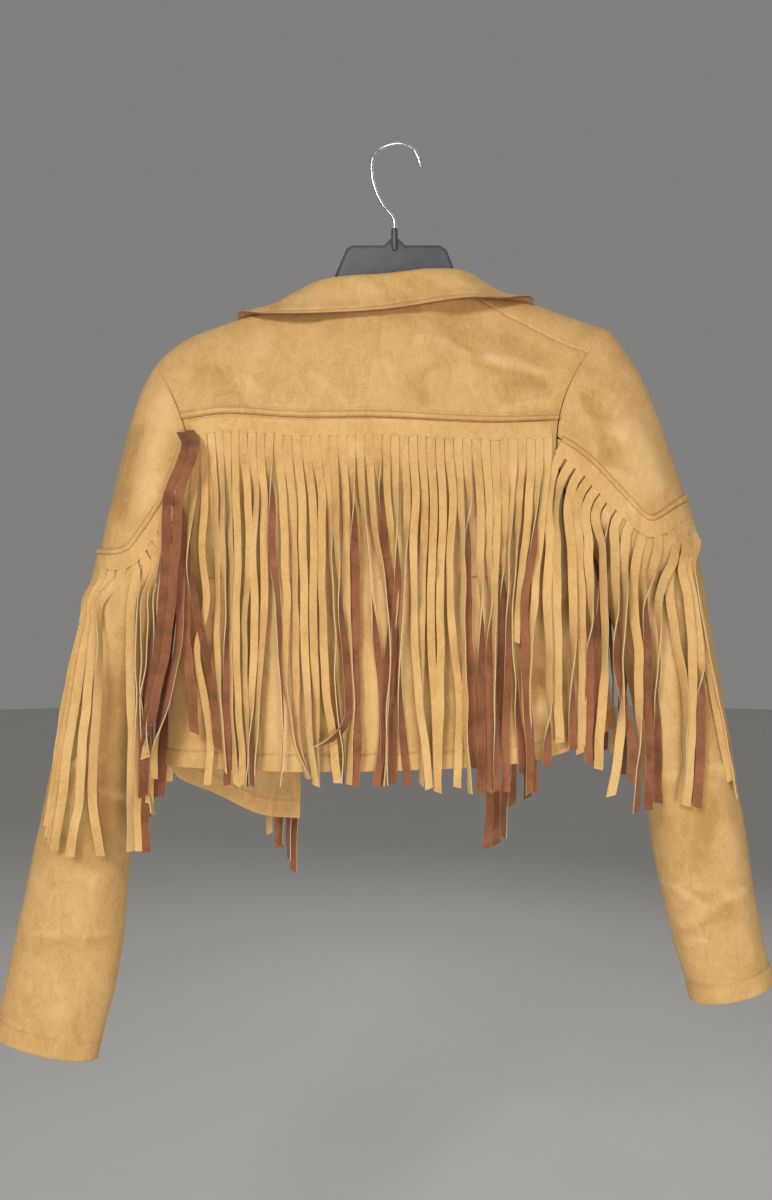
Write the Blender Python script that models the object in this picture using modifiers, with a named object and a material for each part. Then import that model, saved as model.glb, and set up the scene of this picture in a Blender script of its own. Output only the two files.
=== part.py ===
"""Cropped fringed jacket hanging on a plastic hanger, seen with its back to -Y.

Tables and driving sizes are in millimetres; meshes are in metres, +Z up, +X to the right of
somebody facing the jacket's back. The origin is the top of the inside of the hanger's hook.
Every cloth piece is a thin wall on a surface between the seam lines that bound it.
"""
import math

import bmesh
import bpy
import numpy as np
from mathutils import Vector

MM = 0.001

# Driving sizes
WALL = 1.2              # bonded suede cloth
# How far each piece stops short of its seam lines at its top, foot and sides: more where the
# cloth turns a corner at the seam, so that the walls' inner corners stay apart.
YOKE_GAPS = (1.1, 0.5, 0.3)
BODY_GAPS = (0.5, 0.3, 0.8)
COLLAR_GAPS = (0.9, 0.3, 0.3)
SLEEVE_GAPS = (0.55, 0.55, 0.3)
SLEEVE_STEP = 1.7       # the sleeve lies this far outside the armhole where they run side by side
WELT_WALL = 1.5         # folded and topstitched seam allowance
WELT_WIDTH = 5.4
WELT_RISE = 1.75        # middle of the welt above the middle of the cloth under it
FRINGE_WALL = 1.0
FRINGE_RISE = 1.6       # middle of the header above the middle of the cloth under it
HEADER = 13.0           # uncut strip above the slits
PITCH_FILL = 0.78       # strand width as a share of the pitch
UNEVEN = 11.0           # the shortest strand is cut this much short
WIRE = 3.0              # hook wire diameter
HANGER_THICK = 5.0

SLEEVE_STRANDS = 34
LEFT_SLEEVE_STRAND = 274.0      # cut lengths from the header's top
RIGHT_SLEEVE_STRAND = 256.0
STRAND_BENDS = (0.09, 0.28, 0.6, 1.0)   # where a strand bends, as shares of its free length
BODY_HUG = 4.0          # how closely the underarm's depth stays at the sides
STRAND_EASE = 8.5       # how far the strands come to stand off the cloth
SLEEVE_CLEAR = 2.6      # least distance from the sleeve's surface to a strand's middle
# Strips of fringe on the body: number of strands, cut length of the left and of the right one,
# how far the strip stays inside the panel's left and right sides, how far its left tip shifts
# along the panel and how much more its right tip does (shares of the panel's width), and how
# far its top lies below the seam.
#                count  left  right  inset         shift          below
BACK_STRIP = (41, 312.0, 312.0, (0.016, 0.022), (0.05, -0.19), 2.4)
LEFT_STRIP = (12, 284.0, 346.0, (0.09, 0.03), (0.03, 0.0), 3.4)
RIGHT_STRIP = (8, 316.0, 268.0, (0.03, 0.20), (0.0, 0.0), 3.4)

# Rings along a sleeve, from the armhole (0) to the cuff (1): the end points of the ring on the
# body side and on the outer side (x, z), half its depth along Y, and how far its middle is
# drawn in towards the body.
#    at    in x  in z  out x out z depth bow
SLEEVE_RIGHT = (
    (0.00,  183, -372,  194, -166, 38.0, 46),
    (0.10,  187, -387,  220, -203, 41.0, 40),
    (0.20,  190, -400,  241, -253, 43.0, 33),
    (0.30,  194, -414,  260, -310, 44.0, 22),
    (0.42,  202, -445,  274, -372, 44.0, 10),
    (0.58,  217, -506,  292, -476, 42.0, 3),
    (0.76,  229, -600,  312, -594, 39.0, 0),
    (0.90,  246, -691,  328, -692, 35.0, 0),
    (1.00,  267, -767,  341, -748, 33.0, 0),
)
SLEEVE_LEFT = (
    (0.00, -190, -392, -212, -198, 38.0, 28),
    (0.10, -195, -405, -226, -226, 41.0, 26),
    (0.20, -200, -418, -240, -272, 43.0, 20),
    (0.30, -206, -432, -250, -320, 44.0, 14),
    (0.42, -214, -462, -263, -374, 44.0, 8),
    (0.58, -228, -524, -286, -460, 43.0, 3),
    (0.76, -235, -620, -312, -600, 38.0, 0),
    (0.90, -242, -724, -338, -712, 30.0, 0),
    (1.00, -264, -820, -355, -799, 24.0, 0),
)
# Where the sleeve's cross seam lies: angle from the sleeve's outer line, place along the sleeve.
#    angle  at
CAP_SEAM_RIGHT = ((0, 0.306), (45, 0.315), (68, 0.312), (76, 0.306), (80, 0.283), (83, 0.225),
                  (86, 0.135), (90, 0.020))
CAP_SEAM_LEFT = ((0, 0.405), (45, 0.378), (74, 0.318), (83, 0.232), (88, 0.110), (91, 0.020))
# Angles of a sleeve's columns on either side of its outer line; the cap has the first ones.
CAP_ANGLES = (0, 10, 20, 31, 42, 53, 65, 75, 82, 87, 90)
UNDER_ANGLES = (100, 120, 140, 160, 180)

# Where the panels' rows meet the armholes, in degrees from the shoulder point; minus is the back.
# The right shoulder seam is thrown to the back.
YOKE_ROWS = (0.0, 0.05, 0.12, 0.22, 0.36, 0.54, 0.76, 1.0)
LEFT_YOKE_ANGLES = (0, -5, -10, -20, -31, -42, -53, -65)
RIGHT_YOKE_ANGLES = (-42, -47, -53, -59, -65, -70, -75, -82)
FRONT_YOKE_ANGLES = (0, 10, 20, 31, 42, 53, 65, 75)
THROWN_ANGLES = (-42, -20, 0)
RIDGE_SHARE = 0.2           # of the right front yoke's rows, those behind the shoulder's ridge
ARMHOLE_ROWS = (0.0, 0.06, 0.12, 0.18, 0.25, 0.32, 0.38, 0.44)
LEFT_BACK_ANGLES = (-65, -82, -90, -100, -120, -140, -160, -180)
RIGHT_BACK_ANGLES = (-82, -87, -90, -100, -120, -140, -160, -180)
FRONT_ANGLES = (75, 82, 90, 100, 120, 140, 160, 180)
SIDE_ROWS = (0.58, 0.72, 0.86, 1.0)

# Seam lines and edges (x, y, z)
LEFT_RIDGE = ((-200, 0, -186), (-184, 0, -174), (-140, 0, -157), (-104, -1, -148))
LEFT_NECK = (-75, -1, -141)
BACK_NECK = ((-52, -17, -146), (-4, -25, -146), (40, -20, -139))
RIGHT_NECK = (68, -7, -136)
RIGHT_SHOULDER_SEAM = ((100, -15, -155), (130, -20, -172), (153, -23, -184))
RIGHT_RIDGE = ((96, 1, -138), (126, 1, -144), (149, 1, -151), (170, 1, -158))
LEFT_FRONT_NECK = ((-60, 38, -188), (-68, 24, -160))
RIGHT_NECK_TOP = (72, 3, -134)
RIGHT_FRONT_NECK = ((69, 22, -152), (60, 38, -184))
BACK_YOKE_SEAM = ((-146, -39, -247), (-80, -44, -251), (-11, -46, -251), (83, -44, -255))
BACK_HEM = ((-201, -10, -555), (-186, -26, -555), (-146, -42, -555), (-78, -49, -556),
            (-11, -51, -555), (68, -50, -552), (127, -45, -546), (164, -36, -535),
            (186, -22, -526), (197, -9, -522))
LEFT_SIDE_FOOT = (-203, 0, -555)
RIGHT_SIDE_FOOT = (199, 0, -521)
LEFT_YOKE_FRONT = (-74, 43, -334)
RIGHT_YOKE_FRONT = (78, 43, -322)
LEFT_YOKE_SEAM = ((-150, 43, -277), (-112, 46, -300))
RIGHT_YOKE_SEAM = ((124, 44, -281), (100, 46, -302))
LEFT_FRONT_FOOT = (-85, 27, -610)
RIGHT_FRONT_FOOT = (88, 30, -552)
LEFT_FRONT_EDGE = (-82, 38, -470)
RIGHT_FRONT_EDGE = (86, 40, -440)
LEFT_FRONT_HEM = ((-202, 8, -560), (-192, 18, -573), (-161, 28, -588), (-122, 31, -607))
RIGHT_FRONT_HEM = ((197, 8, -523), (186, 18, -529), (155, 30, -540), (118, 34, -547))

# Collar: the fold along its top and the free edge of its fall, from the left front end round
# the back to the right front end.
COLLAR_FOLD = ((-57, 45, -173), (-68, 26, -145), (-71, 5, -129), (-59, -9, -124),
               (-34, -17, -122), (-4, -20, -121), (30, -18, -117), (60, -9, -116),
               (73, 4, -123), (70, 24, -141), (58, 46, -171))
COLLAR_EDGE = ((-94, 57, -232), (-132, 43, -194), (-139, 26, -168), (-138, 3, -151),
               (-114, -19, -156), (-70, -36, -160), (-4, -39, -157), (60, -36, -147),
               (98, -22, -143), (127, 2, -138), (124, 26, -156), (114, 43, -182), (90, 57, -222))
COLLAR_TURN = 4.0       # half the thickness of the fold along the collar's top
COLLAR_SAG = 2.5        # how far the fall hangs below a straight line to its edge

# Hanger
HOOK_LINE = ((26, -19), (24, -12), (20, -4), (14, 0.5), (7, 2.4), (0, 1.8), (-8, -1), (-14, -6),
             (-17.5, -13), (-18.2, -22), (-17, -32), (-13, -44), (-7, -55), (-1, -61.5),
             (2, -67), (2.4, -74))
SOCKET_TOP = -75.0
SOCKET_WIDTH = 6.0
SOCKET_X = 2.4
GUSSET_TOP = -83.0
GUSSET_REACH = 9.5
PLATE_TOP = -90.0
PLATE_LEFT = ((-36, PLATE_TOP), (-41, -93), (-52, -119), (-60, -146))
PLATE_RIGHT = ((43, PLATE_TOP), (49, -94), (57, -114), (60, -142))
ARM_TOP_LEFT = ((-80, -155), (-140, -169), (-172, -181), (-186, -191))
ARM_TOP_RIGHT = ((80, -151), (126, -157), (160, -168), (174, -175))
ARM_DEEP = 15.0
PLATE_FOOT = (2, -156)

TAN = (0.60, 0.38, 0.17)
TAN_FRINGE = (0.64, 0.42, 0.20)
BLACK_PLASTIC = (0.022, 0.023, 0.025)
STEEL = (0.62, 0.62, 0.60)


# ---------------------------------------------------------------- curves and surfaces

def smooth(table, at):
    """The table's other columns where its first column is `at`: a cubic through the rows."""
    at = min(max(at, table[0][0]), table[-1][0])
    index = max(i for i in range(len(table) - 1) if table[i][0] <= at)
    start, end = table[index], table[index + 1]
    span = end[0] - start[0]
    part = (at - start[0]) / span
    before = table[max(index - 1, 0)]
    after = table[min(index + 2, len(table) - 1)]
    weights = (2 * part**3 - 3 * part**2 + 1, part**3 - 2 * part**2 + part,
               3 * part**2 - 2 * part**3, part**3 - part**2)
    values = []
    for column in range(1, len(start)):
        slope_in = (end[column] - before[column]) / (end[0] - before[0])
        slope_out = (after[column] - start[column]) / (after[0] - start[0])
        terms = (start[column], slope_in * span, end[column], slope_out * span)
        values.append(sum(w * v for w, v in zip(weights, terms)))
    return values


def curve(points):
    """A smooth curve through points, as a function that runs from 0 to 1 by length."""
    points = [Vector(p) for p in points]
    lengths = [0.0]
    for first, second in zip(points, points[1:]):
        lengths.append(lengths[-1] + (second - first).length)
    table = [(d / lengths[-1], *p) for d, p in zip(lengths, points)]
    return lambda t: Vector(smooth(table, t))


def length_of(line, steps=24):
    return sum((line((i + 1) / steps) - line(i / steps)).length for i in range(steps))


def stretch(line, start, end):
    """The part of a line between two of its places."""
    return lambda t: line(start + (end - start) * t)


def chain(*lines):
    """Lines end to end as one, from 0 to 1 by length."""
    marks = [0.0]
    for line in lines:
        marks.append(marks[-1] + length_of(line))

    def at(t):
        along = min(max(t, 0.0), 1.0) * marks[-1]
        for line, start, end in zip(lines, marks, marks[1:]):
            if along <= end or line is lines[-1]:
                return line((along - start) / (end - start))
    return at


def faceted(line, places):
    """A line with straight runs between its places, as the edges of the cloth have."""
    corners = [line(place) for place in places]

    def at(t):
        index = min(max(i for i in range(len(places)) if i == 0 or places[i] <= t), len(places) - 2)
        part = (t - places[index]) / (places[index + 1] - places[index])
        return corners[index].lerp(corners[index + 1], part)
    return at


def place_on(line, point, steps=200):
    """The place on a line nearest a point."""
    target = Vector(point)
    return min((i / steps for i in range(steps + 1)), key=lambda t: (line(t) - target).length)


def panel(left, right, top, bottom, swell=(0, 0, 0), hug=1.0):
    """A cloth panel between four seam lines; u runs left to right and v top to bottom. Above 1,
    hug keeps the depth of its two sides from reaching its middle."""
    swell = Vector(swell)
    corners = (left(0), right(0), left(1), right(1))

    def at(u, v):
        left_bend = left(v) - corners[0] * (1 - v) - corners[2] * v
        right_bend = right(v) - corners[1] * (1 - v) - corners[3] * v
        point = top(u) * (1 - v) + bottom(u) * v
        shares = (1 - u, (1 - u) ** hug, 1 - u), (u, u ** hug, u)
        for bend, share in zip((left_bend, right_bend), shares):
            point += Vector([part * weight for part, weight in zip(bend, share)])
        fullness = (max(math.sin(math.pi * u), 0) * max(math.sin(math.pi * v), 0)) ** 0.8
        return point + swell * fullness
    return at


def raised(surface, u, v, rise):
    """The point of a surface moved out along its normal."""
    step = 0.01
    v = min(v, 1.0)
    u_side = (max(u - step, 0), min(u + step, 1))
    v_side = (max(v - step, 0), min(v + step, 1))
    along = surface(u_side[1], v) - surface(u_side[0], v)
    down = surface(u, v_side[1]) - surface(u, v_side[0])
    return surface(u, v) + down.cross(along).normalized() * rise


def stacked(upper, lower, share):
    """Two panels in one piece, the upper one with this share of v."""
    return lambda u, v: upper(u, v / share) if v <= share else lower(u, (v - share) / (1 - share))


def sleeve_surface(rings, step=0.0):
    """Points of a sleeve by angle (degrees, 0 on the outer line, minus at the back) and place."""
    def at(angle, place):
        in_x, in_z, out_x, out_z, depth, bow = smooth(rings, place)
        inner, outer = Vector((in_x, 0, in_z)), Vector((out_x, 0, out_z))
        half = (outer - inner) / 2
        inward = Vector((-abs(half.z), 0, abs(half.x))).normalized()
        inward.x *= 1 if outer.x > 0 else -1
        turn = math.radians(angle)
        point = (inner + outer) / 2 + half * math.cos(turn)
        point += inward * bow * math.sin(turn) ** 2
        outward = math.copysign(step * (0.15 + 0.85 * math.sin(turn / 2) ** 2), outer.x)
        return point + Vector((outward, depth * math.sin(turn), 0))
    return at


# ---------------------------------------------------------------- making objects

def material(name, colour, roughness, metallic=0.0):
    made = bpy.data.materials.new(name)
    made.use_nodes = True
    shader = made.node_tree.nodes["Principled BSDF"]
    shader.inputs["Base Color"].default_value = (*colour, 1.0)
    shader.inputs["Roughness"].default_value = roughness
    shader.inputs["Metallic"].default_value = metallic
    return made


def finish(name, data, collection, look):
    item = bpy.data.objects.new(name, data)
    item.data.materials.append(look)
    collection.objects.link(item)
    return item


def wall(item, thickness):
    solid = item.modifiers.new("Wall", 'SOLIDIFY')
    solid.thickness = thickness * MM
    solid.offset = 0.0
    solid.use_even_offset = False
    return item


def grid(points):
    """A mesh grid on rows of points."""
    rows, columns = len(points), len(points[0])
    mesh = bmesh.new()
    bmesh.ops.create_grid(mesh, x_segments=columns - 1, y_segments=rows - 1, size=1.0)
    mesh.verts.ensure_lookup_table()
    for index, vert in enumerate(mesh.verts):
        vert.co = points[index // columns][index % columns] * MM
    return mesh


def to_data(mesh, name, weld=False):
    if weld:
        bmesh.ops.remove_doubles(mesh, verts=mesh.verts[:], dist=0.00001)
    data = bpy.data.meshes.new(name)
    mesh.to_mesh(data)
    mesh.free()
    data.shade_smooth()
    return data


def draw_in(points, closed, gaps):
    """Move the border of a grid of points inside its seam lines."""
    top, foot, sides = gaps

    def nearer(edge, inside, gap):
        return edge + (inside - edge).normalized() * gap
    moved = [row[:] for row in points]
    last = len(points) - 1
    for column in range(len(points[0])):
        moved[0][column] = nearer(points[0][column], points[1][column], top)
        moved[last][column] = nearer(points[last][column], points[last - 1][column], foot)
    if not closed:
        for row in range(last + 1):
            moved[row][0] = nearer(moved[row][0], moved[row][1], sides)
            moved[row][-1] = nearer(moved[row][-1], moved[row][-2], sides)
    return moved


def spread(count, crowd=0.0):
    """Places from 0 to 1, crowded towards both ends by a share."""
    even = [i / count for i in range(count + 1)]
    return [t * (1 - crowd) + (1 - math.cos(math.pi * t)) / 2 * crowd for t in even]


def mirrored(angles):
    """Angles from the outer line as angles on both sides of it."""
    return [-angle for angle in reversed(angles[1:])] + list(angles)


def cloth(name, surface, columns, rows, gaps, collection, look, closed=False):
    """A cloth piece: a wall on a surface, at the places in columns and rows (0 to 1)."""
    points = draw_in([[surface(u, v) for u in columns] for v in rows], closed, gaps)
    data = to_data(grid(points), name, weld=closed)
    return wall(finish(name, data, collection, look), WALL)


def welt(name, line, columns, collection, look):
    """A raised band along a seam; line(u, side) gives its upper (0) and lower (1) edge."""
    points = [[line(u, side) for u in columns] for side in (0, 1)]
    return wall(finish(name, to_data(grid(points), name), collection, look), WELT_WALL)


def fringe(name, hang, strands, lengths, collection, look):
    """A comb cut from one strip: hang(place, side, drop) gives the point of a strand whose middle
    is at `place` (0 to 1) along the strip, on its left (-1) or right (1) edge. The strands' cut
    lengths run from the first of two to the other."""
    places = [(i + 0.5) / strands for i in range(strands)]

    def drop_of(place, bend):
        cut = lengths[0] + (lengths[1] - lengths[0]) * place - UNEVEN * math.sin(61 * place) ** 2
        return HEADER * (1 + bend) if bend <= 0 else HEADER + (cut - HEADER) * bend

    bends = (-1, 0, *STRAND_BENDS)
    points = [[hang(place, side, drop_of(place, bend)) for place in places for side in (-1, 1)]
              for bend in bends]
    mesh = grid(points)
    mesh.faces.ensure_lookup_table()
    columns = 2 * strands - 1
    slits = [mesh.faces[row * columns + column] for row in range(1, len(bends) - 1)
             for column in range(1, columns, 2)]
    bmesh.ops.delete(mesh, geom=slits, context='FACES')
    return wall(finish(name, to_data(mesh, name), collection, look), FRINGE_WALL)


# ---------------------------------------------------------------- seam lines

ACROSS = spread(22, 0.5)
HALF_ACROSS = spread(9, 0.4)
DOWN = ARMHOLE_ROWS + SIDE_ROWS
SLEEVE_ANGLES = mirrored(CAP_ANGLES + UNDER_ANGLES)
ARM_LEFT = sleeve_surface(SLEEVE_LEFT)
ARM_RIGHT = sleeve_surface(SLEEVE_RIGHT)


LEFT_HOLE = faceted(lambda angle: ARM_LEFT(angle, 0), SLEEVE_ANGLES)
RIGHT_HOLE = faceted(lambda angle: ARM_RIGHT(angle, 0), SLEEVE_ANGLES)


def armhole(hole, rows, angles):
    """The armhole as a panel's side, with its angle at each of the panel's rows."""
    return lambda v: hole(float(np.interp(v, rows, angles)))


def side_of(hole, angles, foot):
    """From the armhole, through the underarm, down the side seam to the hem."""
    upper, under = armhole(hole, ARMHOLE_ROWS, angles), ARMHOLE_ROWS[-1]
    lower = curve((hole(angles[-1]), foot))
    return lambda v: upper(v) if v <= under else lower((v - under) / (1 - under))


TOP_LINE = faceted(curve((LEFT_HOLE(0), *LEFT_RIDGE, LEFT_NECK, *BACK_NECK, RIGHT_NECK,
                          *RIGHT_SHOULDER_SEAM, RIGHT_HOLE(RIGHT_YOKE_ANGLES[0]))), ACROSS)
AT_LEFT_NECK = place_on(TOP_LINE, LEFT_NECK)
AT_RIGHT_NECK = place_on(TOP_LINE, RIGHT_NECK)
LEFT_NECK_FRONT = curve((LEFT_FRONT_NECK[0], LEFT_FRONT_NECK[1], TOP_LINE(AT_LEFT_NECK)))
RIGHT_NECK_SIDE = curve((TOP_LINE(AT_RIGHT_NECK), RIGHT_NECK_TOP))
RIGHT_NECK_FRONT = curve((RIGHT_NECK_TOP, *RIGHT_FRONT_NECK))
NECK_LINE = chain(LEFT_NECK_FRONT, stretch(TOP_LINE, AT_LEFT_NECK, AT_RIGHT_NECK),
                  RIGHT_NECK_SIDE, RIGHT_NECK_FRONT)
YOKE_LINE = curve((LEFT_HOLE(LEFT_YOKE_ANGLES[-1]), *BACK_YOKE_SEAM, RIGHT_HOLE(RIGHT_YOKE_ANGLES[-1])))
LEFT_YOKE_LINE = curve((LEFT_HOLE(FRONT_YOKE_ANGLES[-1]), *LEFT_YOKE_SEAM, LEFT_YOKE_FRONT))
RIGHT_YOKE_LINE = curve((RIGHT_YOKE_FRONT, *RIGHT_YOKE_SEAM[::-1], RIGHT_HOLE(FRONT_YOKE_ANGLES[-1])))

BACK_YOKE = panel(armhole(LEFT_HOLE, YOKE_ROWS, LEFT_YOKE_ANGLES),
                  armhole(RIGHT_HOLE, YOKE_ROWS, RIGHT_YOKE_ANGLES),
                  TOP_LINE, YOKE_LINE, swell=(0, -4, 0))
BACK = panel(side_of(LEFT_HOLE, LEFT_BACK_ANGLES, LEFT_SIDE_FOOT),
             side_of(RIGHT_HOLE, RIGHT_BACK_ANGLES, RIGHT_SIDE_FOOT),
             YOKE_LINE, curve((LEFT_SIDE_FOOT, *BACK_HEM, RIGHT_SIDE_FOOT)), swell=(0, -4, 0), hug=BODY_HUG)
FRONT_YOKE_LEFT = panel(
    armhole(LEFT_HOLE, YOKE_ROWS, FRONT_YOKE_ANGLES),
    chain(stretch(LEFT_NECK_FRONT, 1, 0), curve((LEFT_FRONT_NECK[0], LEFT_YOKE_FRONT))),
    stretch(TOP_LINE, 0, AT_LEFT_NECK), LEFT_YOKE_LINE)
RIGHT_RIDGE_LINE = curve((RIGHT_NECK_TOP, *RIGHT_RIDGE, RIGHT_HOLE(0)))
FRONT_YOKE_RIGHT = stacked(
    panel(RIGHT_NECK_SIDE, armhole(RIGHT_HOLE, (0.0, 0.5, 1.0), THROWN_ANGLES),
          stretch(TOP_LINE, AT_RIGHT_NECK, 1), RIGHT_RIDGE_LINE),
    panel(chain(RIGHT_NECK_FRONT, curve((RIGHT_FRONT_NECK[-1], RIGHT_YOKE_FRONT))),
          armhole(RIGHT_HOLE, YOKE_ROWS, FRONT_YOKE_ANGLES), RIGHT_RIDGE_LINE, RIGHT_YOKE_LINE),
    RIDGE_SHARE)
FRONT_LEFT = panel(side_of(LEFT_HOLE, FRONT_ANGLES, LEFT_SIDE_FOOT),
                   curve((LEFT_YOKE_FRONT, LEFT_FRONT_EDGE, LEFT_FRONT_FOOT)),
                   LEFT_YOKE_LINE, curve((LEFT_SIDE_FOOT, *LEFT_FRONT_HEM, LEFT_FRONT_FOOT)),
                   swell=(0, 6, 0), hug=BODY_HUG)
FRONT_RIGHT = panel(curve((RIGHT_YOKE_FRONT, RIGHT_FRONT_EDGE, RIGHT_FRONT_FOOT)),
                    side_of(RIGHT_HOLE, FRONT_ANGLES, RIGHT_SIDE_FOOT),
                    RIGHT_YOKE_LINE, curve((RIGHT_FRONT_FOOT, *RIGHT_FRONT_HEM[::-1], RIGHT_SIDE_FOOT)),
                    swell=(0, 6, 0), hug=BODY_HUG)


# ---------------------------------------------------------------- the pieces

def back_pieces(made):
    cloth("back_yoke", BACK_YOKE, ACROSS, YOKE_ROWS, YOKE_GAPS, *made)
    cloth("back_body", BACK, ACROSS, DOWN, BODY_GAPS, *made)


def front_pieces(made):
    thrown_rows = [0.0, RIDGE_SHARE / 2]
    right_rows = thrown_rows + [RIDGE_SHARE + (1 - RIDGE_SHARE) * v for v in YOKE_ROWS]
    cloth("front_yoke_left", FRONT_YOKE_LEFT, HALF_ACROSS, YOKE_ROWS, YOKE_GAPS, *made)
    cloth("front_yoke_right", FRONT_YOKE_RIGHT, HALF_ACROSS, right_rows, YOKE_GAPS, *made)
    cloth("front_left", FRONT_LEFT, HALF_ACROSS, DOWN, BODY_GAPS, *made)
    cloth("front_right", FRONT_RIGHT, HALF_ACROSS, DOWN, BODY_GAPS, *made)


def collar_surface():
    fold, edge = curve(COLLAR_FOLD), curve(COLLAR_EDGE)

    def at(u, v):
        root, top, tip = NECK_LINE(u), fold(u), edge(u)
        out = Vector((tip.x - root.x, tip.y - root.y, 0)).normalized() * COLLAR_TURN
        inside = top - out + Vector((0, 0, -2.0))
        outside = top.lerp(tip, 0.12) + out * 0.6 + Vector((0, 0, 1.0))
        belly = top.lerp(tip, 0.6) + Vector((0, 0, -COLLAR_SAG))
        profile = ((0.0, *root), (0.28, *inside), (0.42, *top), (0.54, *outside), (0.8, *belly),
                   (1.0, *tip))
        return Vector(smooth(profile, v))
    return at


def collar_piece(made):
    cloth("collar", collar_surface(), spread(30), spread(8), COLLAR_GAPS, *made)


def seam_place(seam, angle):
    return smooth(seam, abs(angle))[0]


def sleeve_pieces(side, arm, seam, made):
    """The cap above the fringe seam and the sleeve below it."""
    last = CAP_ANGLES[-1]

    def cap(angle, v):
        return arm(angle, seam_place(seam, angle) * v)

    def sleeve(angle, v):
        top = seam_place(seam, angle) if abs(angle) <= last else 0.0
        return arm(angle, top + (1 - top) * v)

    cloth("sleeve_cap_" + side, cap, mirrored(CAP_ANGLES), spread(5), SLEEVE_GAPS, *made)
    cloth("sleeve_" + side, sleeve, SLEEVE_ANGLES, spread(10), SLEEVE_GAPS, *made, closed=True)


def level_section(arm, height, count=24):
    """A sleeve's outline at a height, as its centre and (direction, radius) all round."""
    outline = []
    for index in range(count):
        angle = 360 * index / count - 180
        low, high = 0.0, 1.0
        for _ in range(12):
            place = (low + high) / 2
            if arm(angle, place).z > height:
                low = place
            else:
                high = place
        outline.append(arm(angle, high))
    middle = (max(p.x for p in outline) + min(p.x for p in outline)) / 2
    polar = sorted((math.atan2(p.y, p.x - middle), math.hypot(p.x - middle, p.y)) for p in outline)
    wrapped = [(polar[-1][0] - math.tau, polar[-1][1])] + polar + [(polar[0][0] + math.tau, polar[0][1])]
    return middle, wrapped


def keeper(arm):
    """A function that moves a point out of a sleeve, level with where it is."""
    known = {}

    def pushed_out(point, clear):
        level = round(point.z / 3) * 3
        if level not in known:
            known[level] = level_section(arm, level)
        middle, outline = known[level]
        across = point.x - middle
        distance = math.hypot(across, point.y)
        direction = math.atan2(point.y, across)
        index = max(i for i in range(len(outline) - 1) if outline[i][0] <= direction)
        (start, near), (end, far) = outline[index], outline[index + 1]
        radius = near + (far - near) * (direction - start) / (end - start) + clear
        if distance >= radius:
            return point
        scale = radius / distance
        return Vector((middle + across * scale, point.y * scale, point.z))
    return pushed_out


def body_welt(surface, rise):
    """A band along a panel's lower edge."""
    def line(u, side):
        tall = (surface(u, 1) - surface(u, 0)).length
        u = 0.006 + 0.988 * u
        return raised(surface, u, 1 - (1 - side) * WELT_WIDTH / tall, rise)
    return line


def above_sleeve(arm, angle, place, rise):
    """The point of a sleeve moved out along its normal."""
    outward = math.copysign(rise, arm(0, place).x)
    return raised(lambda u, v: arm(360 * u - 180, v), (angle + 180) / 360, place, outward)


def sleeve_welt(arm, seam):
    """A band along the cap's lower edge, from the back of the armhole to its front."""
    def line(angle, side):
        low = seam_place(seam, angle)
        drop = (arm(angle, low) - arm(angle, low - 0.01)).length
        high = low - 0.01 * WELT_WIDTH / drop
        return above_sleeve(arm, angle, high if side == 0 else low, WELT_RISE)
    return line


def body_fringe(surface, rise, strip):
    """Strands that lie over a panel from its top edge and hang on past its hem."""
    strands, left_cut, right_cut, inset, shift, below = strip
    used = 1 - inset[0] - inset[1]
    width = (surface(1, 0) - surface(0, 0)).length * used / strands

    def hang(place, side, drop):
        share = max(drop - HEADER, 0) / max(left_cut, right_cut)
        shifted = share ** 0.6
        middle = inset[0] + used * place + (shift[0] + shift[1] * place) * shifted
        tall = surface(middle, 0).z - surface(middle, 1).z
        v = (drop + below) / tall
        level = min(v, 1.0)
        pitch = min((used + shift[1] * shifted) / strands,
                    width / (surface(1, level) - surface(0, level)).length)
        ease = math.copysign(STRAND_EASE * share ** 0.4, rise)
        point = raised(surface, middle + side * pitch * PITCH_FILL / 2, v, rise + ease)
        if v > 1:
            point.z -= (v - 1) * tall
        return point
    return hang


def evenly(line, start, end, steps=180):
    """A function from 0 to 1 to the line's own parameter, even by length."""
    params = [start + (end - start) * i / steps for i in range(steps + 1)]
    points = [line(param) for param in params]
    lengths = np.cumsum([0.0] + [(b - a).length for a, b in zip(points, points[1:])])
    return lambda t: float(np.interp(t, lengths / lengths[-1], params))


def sleeve_fringe(arm, seam, lean, strands, length):
    """Strands from the sleeve's cross seam that hang down, kept outside the sleeve."""
    end = CAP_ANGLES[-1] - 0.6
    angle_at = evenly(lambda angle: arm(angle, seam_place(seam, angle)), -end, end)
    half_share = PITCH_FILL / 2 / strands
    pushed_out = keeper(arm)

    def hang(place, side, drop):
        angle = angle_at(place + side * half_share)
        root = above_sleeve(arm, angle, seam_place(seam, angle) + 0.008, FRINGE_RISE)
        share = drop / length
        sway = Vector(lean(angle_at(place))) * share
        clear = SLEEVE_CLEAR + STRAND_EASE / 2 * share ** 0.5
        return pushed_out(root + sway - Vector((0, 0, drop)), clear)
    return hang


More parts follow.
